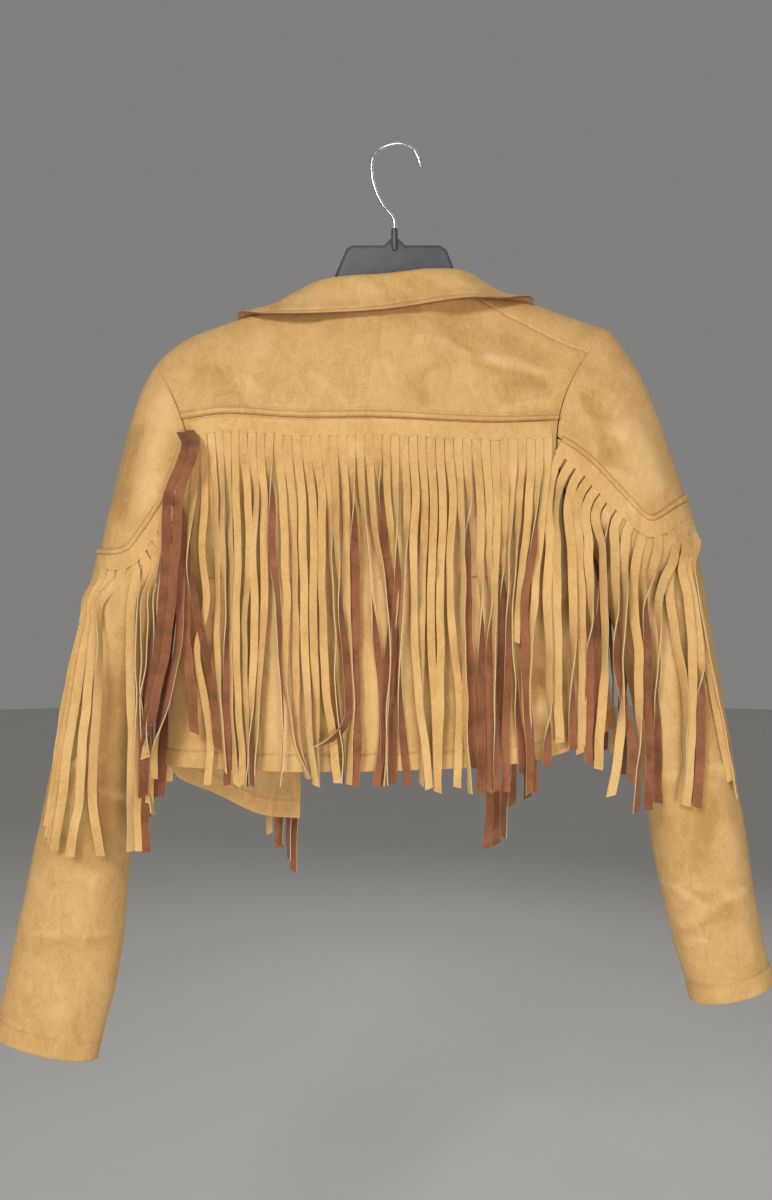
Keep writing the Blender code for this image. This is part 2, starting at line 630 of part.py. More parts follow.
def trim_pieces(made_welt, made_fringe):
    welt("back_welt", body_welt(BACK_YOKE, WELT_RISE), ACROSS, *made_welt)
    welt("front_welt_left", body_welt(FRONT_YOKE_LEFT, -WELT_RISE), HALF_ACROSS, *made_welt)
    welt("front_welt_right", body_welt(FRONT_YOKE_RIGHT, -WELT_RISE), HALF_ACROSS, *made_welt)
    for name, surface, rise, strip in (("back_fringe", BACK, FRINGE_RISE, BACK_STRIP),
                                       ("front_fringe_left", FRONT_LEFT, -FRINGE_RISE, LEFT_STRIP),
                                       ("front_fringe_right", FRONT_RIGHT, -FRINGE_RISE, RIGHT_STRIP)):
        fringe(name, body_fringe(surface, rise, strip), strip[0], strip[1:3], *made_fringe)
    for side, rings, seam, lean, length in (
            ("left", SLEEVE_LEFT, CAP_SEAM_LEFT, lean_left, LEFT_SLEEVE_STRAND),
            ("right", SLEEVE_RIGHT, CAP_SEAM_RIGHT, lean_right, RIGHT_SLEEVE_STRAND)):
        arm = sleeve_surface(rings, SLEEVE_STEP)
        welt("sleeve_welt_" + side, sleeve_welt(arm, seam), mirrored(CAP_ANGLES[:-2]), *made_welt)
        fringe("sleeve_fringe_" + side, sleeve_fringe(arm, seam, lean, SLEEVE_STRANDS, length),
               SLEEVE_STRANDS, (length, length), *made_fringe)


def lean_left(angle):
    """How far a strand of the left sleeve leans by its tip: the outer ones follow the sleeve."""
    turn = math.radians(angle)
    return (-6 - 50 * math.cos(turn) ** 2, math.copysign(12, angle) * math.sin(turn) ** 2, 0)


def lean_right(angle):
    turn = math.radians(angle)
    return (5 + 46 * math.cos(turn) ** 6, math.copysign(12, angle) * math.sin(turn) ** 2, 0)


def hook_piece(collection, look):
    line = curve([(x, 0, z) for x, z in HOOK_LINE])
    count = 30
    data = bpy.data.curves.new("hanger_hook", 'CURVE')
    data.dimensions = '3D'
    data.bevel_depth = WIRE / 2 * MM
    data.bevel_resolution = 2
    data.use_fill_caps = True
    wire = data.splines.new('POLY')
    wire.points.add(count)
    for index, point in enumerate(wire.points):
        point.co = (*(line(index / count) * MM), 1.0)
    return finish("hanger_hook", data, collection, look)


def hanger_piece(collection, look):
    """Plate, socket, gussets and arms: one flat outline, extruded along Y."""
    left = [*PLATE_LEFT, *ARM_TOP_LEFT]
    right = [*PLATE_RIGHT, *ARM_TOP_RIGHT]
    lower_left = [(x, z - ARM_DEEP) for x, z in reversed(ARM_TOP_LEFT)]
    lower_right = [(x, z - ARM_DEEP) for x, z in ARM_TOP_RIGHT]
    neck = SOCKET_WIDTH / 2
    socket = [(SOCKET_X - GUSSET_REACH, PLATE_TOP), (SOCKET_X - neck, GUSSET_TOP),
              (SOCKET_X - neck, SOCKET_TOP), (SOCKET_X + neck, SOCKET_TOP),
              (SOCKET_X + neck, GUSSET_TOP), (SOCKET_X + GUSSET_REACH, PLATE_TOP)]
    outline = [*reversed(left), *socket, *right, *reversed(lower_right), PLATE_FOOT, *reversed(lower_left)]
    data = bpy.data.curves.new("hanger_body", 'CURVE')
    data.dimensions = '2D'
    data.fill_mode = 'BOTH'
    data.extrude = HANGER_THICK / 2 * MM
    line = data.splines.new('POLY')
    line.points.add(len(outline) - 1)
    for point, (x, z) in zip(line.points, outline):
        point.co = (x * MM, z * MM, 0.0, 1.0)
    line.use_cyclic_u = True
    item = finish("hanger_body", data, collection, look)
    item.rotation_euler.x = math.radians(90)
    return item


def main():
    for item in list(bpy.data.objects):
        bpy.data.objects.remove(item, do_unlink=True)
    jacket = bpy.data.collections.new("fringed_jacket")
    bpy.context.scene.collection.children.link(jacket)
    suede = material("tan_suede", TAN, 0.9)
    fringe_suede = material("tan_fringe", TAN_FRINGE, 0.9)
    plastic = material("black_plastic", BLACK_PLASTIC, 0.5)
    steel = material("hook_steel", STEEL, 0.25, metallic=1.0)

    back_pieces((jacket, suede))
    front_pieces((jacket, suede))
    collar_piece((jacket, suede))
    sleeve_pieces("left", sleeve_surface(SLEEVE_LEFT, SLEEVE_STEP), CAP_SEAM_LEFT, (jacket, suede))
    sleeve_pieces("right", sleeve_surface(SLEEVE_RIGHT, SLEEVE_STEP), CAP_SEAM_RIGHT, (jacket, suede))
    trim_pieces((jacket, suede), (jacket, fringe_suede))
    hook_piece(jacket, steel)
    hanger_piece(jacket, plastic)


main()
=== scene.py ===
"""Finish for a cropped fringed jacket in bonded faux suede on its moulded hanger.

Tables and sizes are in millimetres unless a name says otherwise, in the frame of the solids:
origin at the top of the inside of the hook, +Z up, the jacket's back facing -Y.
"""
import math
import random

import bmesh
import bpy
import numpy as np
from bpy.props import FloatProperty, FloatVectorProperty, IntProperty, PointerProperty
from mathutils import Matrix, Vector, noise


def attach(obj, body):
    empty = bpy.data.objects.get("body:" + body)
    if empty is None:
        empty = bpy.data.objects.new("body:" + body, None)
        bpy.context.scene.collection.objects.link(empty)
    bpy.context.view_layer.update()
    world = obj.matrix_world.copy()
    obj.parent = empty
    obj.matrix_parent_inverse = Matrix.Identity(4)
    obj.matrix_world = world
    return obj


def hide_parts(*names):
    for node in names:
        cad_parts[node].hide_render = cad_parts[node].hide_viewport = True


bl_info = {
    "name": "Fringed Jacket",
    "version": (1, 0, 0),
    "blender": (4, 5, 0),
    "location": "View3D > Sidebar > Jacket",
    "description": "Cloth, fringe, stitching and hanger of a fringed faux-suede jacket",
    "category": "Add Mesh",
}

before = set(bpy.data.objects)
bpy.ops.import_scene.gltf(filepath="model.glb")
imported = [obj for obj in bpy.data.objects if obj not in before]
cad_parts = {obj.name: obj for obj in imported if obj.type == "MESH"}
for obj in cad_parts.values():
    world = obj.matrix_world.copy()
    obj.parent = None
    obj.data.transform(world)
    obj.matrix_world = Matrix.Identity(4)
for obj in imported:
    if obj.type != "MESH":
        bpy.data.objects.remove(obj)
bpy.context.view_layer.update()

MM = 0.001
BODY = "root"

# ---------------- the cut, as the solids have it

SLEEVE_STEP = 1.7       # the sleeve lies this far outside the armhole where they run side by side
FRINGE_RISE = 1.6       # middle of the header above the middle of the cloth under it
HEADER = 13.0           # uncut strip above the slits
BODY_HUG = 4.0          # how closely the underarm's depth stays at the sides
WELT_WIDTH = 5.4        # topstitched seam allowance over a strip's upper edge
SLEEVE_STRANDS = 34
LEFT_SLEEVE_STRAND = 274.0      # length of the sleeves' strands, with their header
RIGHT_SLEEVE_STRAND = 256.0
SLEEVE_CUTS = (1.05, 0.85)      # shares of it at a strip's back end and its front end

# Strips of the body: their strands, the shares of the seam left free at the two ends, and how far
# below the seam the strip's upper edge is.
BACK_STRIP = (41, (0.016, 0.022), 2.4)
LEFT_STRIP = (12, (0.09, 0.03), 3.4)
RIGHT_STRIP = (8, (0.03, 0.20), 3.4)

# Rings of the sleeves: their place along the sleeve, their inner and their outer point, half their
# thickness, and how far the middle of their front and back lies in towards the body.
#    at    in x  in z  out x out z depth bow
SLEEVE_RIGHT = (
    (0.00,  183, -372,  194, -166, 38.0, 46),
    (0.10,  187, -387,  220, -203, 41.0, 40),
    (0.20,  190, -400,  241, -253, 43.0, 33),
    (0.30,  194, -414,  260, -310, 44.0, 22),
    (0.42,  202, -445,  274, -372, 44.0, 10),
    (0.58,  217, -506,  292, -476, 42.0, 3),
    (0.76,  229, -600,  312, -594, 39.0, 0),
    (0.90,  246, -691,  328, -692, 35.0, 0),
    (1.00,  267, -767,  341, -748, 33.0, 0),
)
SLEEVE_LEFT = (
    (0.00, -190, -392, -212, -198, 38.0, 28),
    (0.10, -195, -405, -226, -226, 41.0, 26),
    (0.20, -200, -418, -240, -272, 43.0, 20),
    (0.30, -206, -432, -250, -320, 44.0, 14),
    (0.42, -214, -462, -263, -374, 44.0, 8),
    (0.58, -228, -524, -286, -460, 43.0, 3),
    (0.76, -235, -620, -312, -600, 38.0, 0),
    (0.90, -242, -724, -338, -712, 30.0, 0),
    (1.00, -264, -820, -355, -799, 24.0, 0),
)
# Where the cross seams lie: the angle from the sleeve's outer line, and the place along the sleeve.
CAP_SEAM_RIGHT = ((0, 0.310), (45, 0.312), (63, 0.311), (74, 0.300), (79.5, 0.272), (83, 0.215),
                  (86, 0.135), (90, 0.020))
CAP_SEAM_LEFT = ((0, 0.405), (45, 0.378), (74, 0.318), (83, 0.232), (88, 0.110), (91, 0.020))
CAP_END = 90            # the cap's two ends are this far from the outer line

# Where the panels' sides meet the armholes: shares of their length, and the sleeve's angle at each.
YOKE_ROWS = (0.0, 0.05, 0.12, 0.22, 0.36, 0.54, 0.76, 1.0)
LEFT_YOKE_ANGLES = (0, -5, -10, -20, -31, -42, -53, -65)
RIGHT_YOKE_ANGLES = (-42, -47, -53, -59, -65, -70, -75, -82)
FRONT_YOKE_ANGLES = (0, 10, 20, 31, 42, 53, 65, 75)
THROWN_ANGLES = (-42, -20, 0)
RIDGE_SHARE = 0.2       # share of the right front yoke's rows that lie behind its shoulder ridge
ARMHOLE_ROWS = (0.0, 0.06, 0.12, 0.18, 0.25, 0.32, 0.38, 0.44)
LEFT_BACK_ANGLES = (-65, -82, -90, -100, -120, -140, -160, -180)
RIGHT_BACK_ANGLES = (-82, -87, -90, -100, -120, -140, -160, -180)
FRONT_ANGLES = (75, 82, 90, 100, 120, 140, 160, 180)

# Seam lines and edges (x, y, z)
LEFT_RIDGE = ((-200, 0, -186), (-184, 0, -174), (-140, 0, -157), (-104, -1, -148))
LEFT_NECK = (-75, -1, -141)
BACK_NECK = ((-52, -17, -146), (-4, -25, -146), (40, -20, -139))
RIGHT_NECK = (68, -7, -136)
RIGHT_SHOULDER_SEAM = ((100, -15, -155), (130, -20, -172), (153, -23, -184))
RIGHT_RIDGE = ((96, 1, -138), (126, 1, -144), (149, 1, -151), (170, 1, -158))
LEFT_FRONT_NECK = ((-60, 38, -188), (-68, 24, -160))
RIGHT_NECK_TOP = (72, 3, -134)
RIGHT_FRONT_NECK = ((69, 22, -152), (60, 38, -184))
BACK_YOKE_SEAM = ((-146, -39, -247), (-80, -44, -251), (-11, -46, -251), (83, -44, -255))
BACK_HEM = ((-201, -10, -555), (-186, -26, -555), (-146, -42, -555), (-78, -49, -556),
            (-11, -51, -555), (68, -50, -552), (127, -45, -546), (164, -36, -535),
            (186, -22, -526), (197, -9, -522))
LEFT_SIDE_FOOT = (-203, 0, -555)
RIGHT_SIDE_FOOT = (199, 0, -521)
LEFT_YOKE_FRONT = (-74, 43, -334)
RIGHT_YOKE_FRONT = (78, 43, -322)
LEFT_YOKE_SEAM = ((-150, 43, -277), (-112, 46, -300))
RIGHT_YOKE_SEAM = ((124, 44, -281), (100, 46, -302))
LEFT_FRONT_FOOT = (-85, 27, -610)
RIGHT_FRONT_FOOT = (88, 30, -552)
LEFT_FRONT_EDGE = (-82, 38, -470)
RIGHT_FRONT_EDGE = (86, 40, -440)
LEFT_FRONT_HEM = ((-202, 8, -560), (-192, 18, -573), (-161, 28, -588), (-122, 31, -607))
RIGHT_FRONT_HEM = ((197, 8, -523), (186, 18, -529), (155, 30, -540), (118, 34, -547))

COLLAR_FOLD = ((-57, 45, -173), (-68, 26, -145), (-71, 5, -129), (-59, -9, -124),
               (-34, -17, -122), (-4, -20, -121), (30, -18, -117), (60, -9, -116),
               (73, 4, -123), (70, 24, -141), (58, 46, -171))
COLLAR_EDGE = ((-94, 57, -232), (-132, 43, -194), (-139, 26, -168), (-138, 3, -151),
               (-114, -19, -156), (-70, -36, -160), (-4, -39, -157), (60, -36, -147),
               (98, -22, -143), (127, 2, -138), (124, 26, -156), (114, 43, -182), (90, 57, -222))
COLLAR_TURN = 4.0       # how far inside its fold the collar's stand rises
COLLAR_SAG = 2.5        # how far the fall sags between the fold and its edge

HOOK_LINE = ((26, -19), (24, -12), (20, -4), (14, 0.5), (7, 2.4), (0, 1.8), (-8, -1), (-14, -6),
             (-17.5, -13), (-18.2, -22), (-17, -32), (-13, -44), (-7, -55), (-1, -61.5),
             (2, -67), (2.4, -74))
SOCKET_TOP = -75.0
SOCKET_X = 2.4
GUSSET_TOP = -83.0
GUSSET_REACH = 9.5
PLATE_TOP = -90.0
PLATE_LEFT = ((-36, PLATE_TOP), (-41, -93), (-52, -119), (-60, -146))
PLATE_RIGHT = ((43, PLATE_TOP), (49, -94), (57, -114), (60, -142))
ARM_TOP_LEFT = ((-80, -155), (-140, -169), (-172, -181), (-186, -191))
ARM_TOP_RIGHT = ((80, -151), (126, -157), (160, -168), (174, -175))
ARM_DEEP = 15.0
PLATE_FOOT = (2, -156)


def smooth(table, at):
    """The table's other columns where its first column is `at`: a cubic through the rows."""
    at = min(max(at, table[0][0]), table[-1][0])
    index = max(i for i in range(len(table) - 1) if table[i][0] <= at)
    start, end = table[index], table[index + 1]
    span = end[0] - start[0]
    part = (at - start[0]) / span
    before = table[max(index - 1, 0)]
    after = table[min(index + 2, len(table) - 1)]
    weights = (2 * part**3 - 3 * part**2 + 1, part**3 - 2 * part**2 + part,
               3 * part**2 - 2 * part**3, part**3 - part**2)
    values = []
    for column in range(1, len(start)):
        slope_in = (end[column] - before[column]) / (end[0] - before[0])
        slope_out = (after[column] - start[column]) / (after[0] - start[0])
        terms = (start[column], slope_in * span, end[column], slope_out * span)
        values.append(sum(w * v for w, v in zip(weights, terms)))
    return values


def curve(points):
    """A smooth curve through points, as a function that runs from 0 to 1 by length."""
    points = [Vector(p) for p in points]
    lengths = [0.0]
    for first, second in zip(points, points[1:]):
        lengths.append(lengths[-1] + (second - first).length)
    table = [(d / lengths[-1], *p) for d, p in zip(lengths, points)]
    return lambda t: Vector(smooth(table, t))


def sampled(line, count=300):
    """The same line, read from a list of its points: quicker where it is asked for often."""
    points = [line(i / count) for i in range(count + 1)]

    def at(t):
        along = min(max(t, 0.0), 1.0) * count
        index = min(int(along), count - 1)
        return points[index].lerp(points[index + 1], along - index)
    return at


def length_of(line, steps=24):
    """How long a line is."""
    return sum((line((i + 1) / steps) - line(i / steps)).length for i in range(steps))


def stretch(line, start, end):
    """The part of a line between two of its places."""
    return lambda t: line(start + (end - start) * t)


def chain(*lines):
    """Lines end to end as one, from 0 to 1 by length."""
    marks = [0.0]
    for line in lines:
        marks.append(marks[-1] + length_of(line))

    def at(t):
        along = min(max(t, 0.0), 1.0) * marks[-1]
        for line, start, end in zip(lines, marks, marks[1:]):
            if along <= end or line is lines[-1]:
                return line((along - start) / (end - start))
    return at


def place_on(line, point, steps=200):
    """The place on a line nearest a point."""
    target = Vector(point)
    return min((i / steps for i in range(steps + 1)), key=lambda t: (line(t) - target).length)


def panel(left, right, top, bottom, swell=(0, 0, 0), hug=1.0):
    """A cloth panel between four seam lines; u runs left to right and v top to bottom. Above 1,
    hug keeps the depth of its two sides from reaching its middle."""
    swell = Vector(swell)
    left, right, top, bottom = (sampled(line) for line in (left, right, top, bottom))
    corners = (left(0), right(0), left(1), right(1))

    def at(u, v):
        left_bend = left(v) - corners[0] * (1 - v) - corners[2] * v
        right_bend = right(v) - corners[1] * (1 - v) - corners[3] * v
        point = top(u) * (1 - v) + bottom(u) * v + left_bend * (1 - u) + right_bend * u
        point.y += left_bend.y * ((1 - u) ** hug - 1 + u) + right_bend.y * (u ** hug - u)
        fullness = (max(math.sin(math.pi * u), 0) * max(math.sin(math.pi * v), 0)) ** 0.8
        return point + swell * fullness
    return at


def raised(surface, u, v, rise):
    """The point of a surface moved out along its normal."""
    step = 0.01
    v = min(v, 1.0)
    u_side = (max(u - step, 0), min(u + step, 1))
    v_side = (max(v - step, 0), min(v + step, 1))
    along = surface(u_side[1], v) - surface(u_side[0], v)
    down = surface(u, v_side[1]) - surface(u, v_side[0])
    return surface(u, v) + down.cross(along).normalized() * rise


def stacked(upper, lower, share):
    """Two panels in one piece, the upper one with this share of v."""
    return lambda u, v: upper(u, v / share) if v <= share else lower(u, (v - share) / (1 - share))


def sleeve_surface(rings, step=0.0):
    """Points of a sleeve by angle (degrees, 0 on the outer line, minus at the back) and place."""
    known = {}

    def at(angle, place):
        key = round(place, 5)
        if key not in known:
            known[key] = smooth(rings, place)
        in_x, in_z, out_x, out_z, depth, bow = known[key]
        inner, outer = Vector((in_x, 0, in_z)), Vector((out_x, 0, out_z))
        half = (outer - inner) / 2
        inward = Vector((-abs(half.z), 0, abs(half.x))).normalized()
        inward.x *= 1 if outer.x > 0 else -1
        turn = math.radians(angle)
        point = (inner + outer) / 2 + half * math.cos(turn)
        point += inward * bow * math.sin(turn) ** 2
        outward = math.copysign(step * (0.15 + 0.85 * math.sin(turn / 2) ** 2), outer.x)
        return point + Vector((outward, depth * math.sin(turn), 0))
    return at


ARM_LEFT = sleeve_surface(SLEEVE_LEFT)
ARM_RIGHT = sleeve_surface(SLEEVE_RIGHT)


def left_hole(angle):
    """A point of the left armhole, by the sleeve's angle."""
    return ARM_LEFT(angle, 0)


def right_hole(angle):
    """A point of the right armhole, by the sleeve's angle."""
    return ARM_RIGHT(angle, 0)


def armhole(hole, rows, angles):
    """The armhole as a panel's side, with its angle at each of the panel's rows."""
    return lambda v: hole(float(np.interp(v, rows, angles)))


def side_of(hole, angles, foot):
    """From the armhole, through the underarm, down the side seam to the hem."""
    upper, under = armhole(hole, ARMHOLE_ROWS, angles), ARMHOLE_ROWS[-1]
    lower = curve((hole(angles[-1]), foot))
    return lambda v: upper(v) if v <= under else lower((v - under) / (1 - under))


TOP_LINE = sampled(curve((left_hole(0), *LEFT_RIDGE, LEFT_NECK, *BACK_NECK, RIGHT_NECK,
                          *RIGHT_SHOULDER_SEAM, right_hole(RIGHT_YOKE_ANGLES[0]))))
AT_LEFT_NECK = place_on(TOP_LINE, LEFT_NECK)
AT_RIGHT_NECK = place_on(TOP_LINE, RIGHT_NECK)
LEFT_NECK_FRONT = curve((LEFT_FRONT_NECK[0], LEFT_FRONT_NECK[1], TOP_LINE(AT_LEFT_NECK)))
RIGHT_NECK_SIDE = curve((TOP_LINE(AT_RIGHT_NECK), RIGHT_NECK_TOP))
RIGHT_NECK_FRONT = curve((RIGHT_NECK_TOP, *RIGHT_FRONT_NECK))
NECK_LINE = sampled(chain(LEFT_NECK_FRONT, stretch(TOP_LINE, AT_LEFT_NECK, AT_RIGHT_NECK),
                          RIGHT_NECK_SIDE, RIGHT_NECK_FRONT))
YOKE_LINE = curve((left_hole(LEFT_YOKE_ANGLES[-1]), *BACK_YOKE_SEAM, right_hole(RIGHT_YOKE_ANGLES[-1])))
LEFT_YOKE_LINE = curve((left_hole(FRONT_YOKE_ANGLES[-1]), *LEFT_YOKE_SEAM, LEFT_YOKE_FRONT))
RIGHT_YOKE_LINE = curve((RIGHT_YOKE_FRONT, *RIGHT_YOKE_SEAM[::-1], right_hole(FRONT_YOKE_ANGLES[-1])))

BACK_YOKE = panel(armhole(left_hole, YOKE_ROWS, LEFT_YOKE_ANGLES),
                  armhole(right_hole, YOKE_ROWS, RIGHT_YOKE_ANGLES),
                  TOP_LINE, YOKE_LINE, swell=(0, -4, 0))
BACK = panel(side_of(left_hole, LEFT_BACK_ANGLES, LEFT_SIDE_FOOT),
             side_of(right_hole, RIGHT_BACK_ANGLES, RIGHT_SIDE_FOOT),
             YOKE_LINE, curve((LEFT_SIDE_FOOT, *BACK_HEM, RIGHT_SIDE_FOOT)), swell=(0, -4, 0), hug=BODY_HUG)
FRONT_YOKE_LEFT = panel(
    armhole(left_hole, YOKE_ROWS, FRONT_YOKE_ANGLES),
    chain(stretch(LEFT_NECK_FRONT, 1, 0), curve((LEFT_FRONT_NECK[0], LEFT_YOKE_FRONT))),
    stretch(TOP_LINE, 0, AT_LEFT_NECK), LEFT_YOKE_LINE)
RIGHT_RIDGE_LINE = curve((RIGHT_NECK_TOP, *RIGHT_RIDGE, right_hole(0)))
FRONT_YOKE_RIGHT = stacked(
    panel(RIGHT_NECK_SIDE, armhole(right_hole, (0.0, 0.5, 1.0), THROWN_ANGLES),
          stretch(TOP_LINE, AT_RIGHT_NECK, 1), RIGHT_RIDGE_LINE),
    panel(chain(RIGHT_NECK_FRONT, curve((RIGHT_FRONT_NECK[-1], RIGHT_YOKE_FRONT))),
          armhole(right_hole, YOKE_ROWS, FRONT_YOKE_ANGLES), RIGHT_RIDGE_LINE, RIGHT_YOKE_LINE),
    RIDGE_SHARE)
FRONT_LEFT = panel(side_of(left_hole, FRONT_ANGLES, LEFT_SIDE_FOOT),
                   curve((LEFT_YOKE_FRONT, LEFT_FRONT_EDGE, LEFT_FRONT_FOOT)),
                   LEFT_YOKE_LINE, curve((LEFT_SIDE_FOOT, *LEFT_FRONT_HEM, LEFT_FRONT_FOOT)),
                   swell=(0, 6, 0), hug=BODY_HUG)
FRONT_RIGHT = panel(curve((RIGHT_YOKE_FRONT, RIGHT_FRONT_EDGE, RIGHT_FRONT_FOOT)),
                    side_of(right_hole, FRONT_ANGLES, RIGHT_SIDE_FOOT),
                    RIGHT_YOKE_LINE, curve((RIGHT_FRONT_FOOT, *RIGHT_FRONT_HEM[::-1], RIGHT_SIDE_FOOT)),
                    swell=(0, 6, 0), hug=BODY_HUG)


FOLD_LINE = sampled(curve(COLLAR_FOLD))
EDGE_LINE = sampled(curve(COLLAR_EDGE))


def collar_surface(u, v):
    """The collar, from the neck seam (v 0) up its stand, over the fold and down to its edge."""
    root, top, tip = NECK_LINE(u), FOLD_LINE(u), EDGE_LINE(u)
    out = Vector((tip.x - root.x, tip.y - root.y, 0)).normalized() * COLLAR_TURN
    inside = top - out + Vector((0, 0, -2.0))
    outside = top.lerp(tip, 0.12) + out * 0.6 + Vector((0, 0, 1.0))
    belly = top.lerp(tip, 0.6) + Vector((0, 0, -COLLAR_SAG))
    profile = ((0.0, *root), (0.28, *inside), (0.42, *top), (0.54, *outside), (0.8, *belly),
               (1.0, *tip))
    return Vector(smooth(profile, v))


def seam_place(seam, angle):
    """How far along its sleeve a cross seam lies at an angle."""
    return smooth(seam, abs(angle))[0]


# ---------------- creases, and how the strands hang

# Creases pressed or folded into the cloth: the side they show on (-1 back, 1 front), their two
# ends (x, z), how far their middle bows to the left of the way they run, how high they stand
# (minus for a trough), and their width on either side.
#    side x0 z0 x1 z1 bow high width
YOKE_CREASES = (
    (-1, 20, -181, 54, -184, 3, 0.7, 2.5),
    (-1, 54, -184, 68, -198, 2, 0.8, 2.5),
    (-1, 68, -198, 139, -216, -2, -1, 3),
    (-1, 52, -180, 81, -194, 0, -0.7, 2.5),
    (-1, 81, -194, 136, -212, 3, 0.9, 3),
    (-1, 90, -245, 139, -235, 2, 1, 2.5),
    (-1, 78, -196, 104, -206, 2, 0.7, 2.2),
    (-1, 70, -202, 74, -236, -2, 0.5, 4),
    (-1, 95, -222, 140, -222, 3, -0.8, 4),
    (-1, -72, -209, -36, -243, 2, 0.5, 2.2),
    (-1, -134, -212, -108, -230, 1, 0.6, 3),
    (-1, -160, -200, -128, -246, 5, -0.9, 8),
    (-1, -100, -170, -128, -240, -4, 0.6, 9),
    (-1, -10, -200, 2, -240, 8, 0.5, 5),
    (-1, 30, -205, 36, -240, -9, -0.7, 8),
    (-1, 100, -175, 132, -200, 3, -0.8, 6),
    (1, -150, -190, -110, -250, 6, 0.9, 6),
    (1, -120, -200, -90, -300, -5, -0.8, 7),
    (1, 150, -190, 110, -240, -5, 0.9, 6),
    (1, 125, -190, 95, -290, 5, -0.8, 7),
)
BODY_CREASES = (
    (-1, -118, -300, -124, -560, 6, -2.2, 13),
    (-1, -92, -330, -88, -560, -4, 2, 12),
    (-1, -40, -300, -52, -560, 8, -1.6, 14),
    (-1, 2, -320, 10, -560, -5, 1.8, 12),
    (-1, 40, -300, 34, -560, 6, -1.8, 12),
    (-1, 84, -310, 96, -560, -7, 1.7, 13),
    (-1, 120, -400, 160, -380, 3, 1.6, 4),
    (-1, 140, -420, 168, -392, -3, -1.8, 4),
    (-1, 138, -452, 170, -430, 4, 1.8, 4),
    (-1, 112, -470, 150, -486, 3, -1.6, 5),
    (-1, 118, -500, 166, -484, -3, 1.6, 5),
    (-1, -100, -525, -80, -530, 1, 0.6, 2.5),
    (-1, -62, -508, -44, -520, 1, 0.5, 2.5),
    (1, -170, -320, -176, -560, 8, -2.4, 13),
    (1, -134, -330, -126, -580, -5, 2.2, 12),
    (1, 160, -330, 170, -520, -6, -2.2, 12),
    (1, 122, -330, 120, -540, 5, 2, 11),
    (1, -110, -480, -92, -500, 1, 0.7, 3),
)
LEFT_SLEEVE_CREASES = (
    (-1, -266, -543, -247, -544, 0, 1.3, 2.2),
    (-1, -285, -556, -266, -545, 1, 1.2, 2.4),
    (-1, -292, -564, -284, -556, 0, -1, 2.4),
    (-1, -255, -571, -229, -585, -1, 1.3, 2.6),
    (-1, -250, -580, -232, -594, 0, -1.2, 2.8),
    (-1, -323, -700, -238, -700, 1, 0.7, 1.8),
    (-1, -318, -704, -242, -706, -2, -0.5, 3),
    (-1, -268, -420, -262, -545, 4, 0.9, 9),
    (-1, -240, -470, -246, -640, -6, -1.4, 10),
    (-1, -296, -610, -262, -650, 4, -0.9, 8),
    (-1, -300, -720, -290, -780, 4, 0.7, 8),
    (-1, -262, -640, -270, -695, 3, 0.8, 8),
    (1, -300, -556, -244, -560, 3, 1.2, 2.6),
    (1, -280, -580, -234, -600, -3, 1.2, 3.2),
    (1, -322, -702, -240, -702, 1, 0.7, 1.9),
    (1, -262, -430, -268, -540, 4, -1.3, 10),
    (1, -290, -640, -262, -690, 4, 0.9, 8),
)
RIGHT_SLEEVE_CREASES = (
    (-1, 237, -409, 250, -411, 0, 0.9, 2.2),
    (-1, 234, -562, 250, -559, 0, 1.3, 2.3),
    (-1, 270, -555, 285, -551, 1, 1.2, 2.3),
    (-1, 285, -551, 297, -562, 0, 1.3, 2.3),
    (-1, 240, -658, 254, -661, 1, 1.1, 2.4),
    (-1, 253, -661, 274, -675, -1, 1.5, 2.6),
    (-1, 274, -675, 312, -660, 1, 1.6, 2.8),
    (-1, 274, -675, 254, -696, 2, 1.4, 2.8),
    (-1, 256, -708, 276, -703, 0, 1.2, 2.4),
    (-1, 262, -668, 300, -676, 3, -1.4, 5),
    (-1, 246, -430, 236, -560, -5, 1.4, 10),
    (-1, 262, -430, 262, -560, 4, -1.3, 9),
    (-1, 276, -575, 262, -650, 4, -1.1, 9),
    (-1, 292, -600, 300, -650, 3, 0.9, 8),
    (-1, 300, -690, 318, -720, 2, 0.8, 6),
    (1, 236, -558, 296, -552, 3, 1.3, 2.6),
    (1, 244, -664, 306, -668, -4, 1.4, 3),
    (1, 262, -690, 300, -700, 3, -1.1, 4),
    (1, 250, -430, 240, -550, -5, 1.3, 10),
)
CAP_CREASES = (
    (-1, 183, -295, 211, -306, 2, 1, 3.5),
    (-1, 204, -250, 236, -314, 3, 1.8, 9),
    (-1, 172, -222, 198, -286, -4, -1.4, 9),
    (-1, 160, -232, 178, -288, 3, 0.9, 5),
    (-1, 160, -252, 196, -262, 3, 0.8, 4),
    (-1, -196, -225, -214, -330, 5, 1.3, 8),
    (-1, -222, -250, -236, -340, -3, -1.2, 8),
    (-1, -190, -262, -206, -300, 3, -0.9, 5),
    (1, 200, -240, 230, -310, 3, 1.5, 9),
    (1, 170, -220, 196, -280, -4, -1.4, 9),
    (1, -200, -230, -214, -330, 5, 1.3, 8),
    (1, -224, -250, -238, -340, -3, -1.2, 8),
)
COLLAR_CREASES = (
    (-1, -40, -128, -10, -142, 3, 0.6, 5),
    (-1, 8, -126, 40, -132, 2, -0.6, 5),
    (-1, 50, -122, 80, -136, -2, 0.7, 5),
    (-1, -100, -146, -66, -142, 2, 0.5, 5),
)

# How the strands hang is charted on squares of CHART mm, counted to the right from CHART_LEFT and
# down from CHART_TOP. A row is one strand: the line its tip ends on, how far it stands off what it
# hangs over (mm), then where its middle is on lines 500, 550, 600 and so on and at its tip, and how
# far it has turned over there (degrees, 180 shows the backing).
CHART = 0.862
CHART_LEFT, CHART_TOP = -338.1, 108.6
CHART_FIRST, CHART_STEP = 500, 50

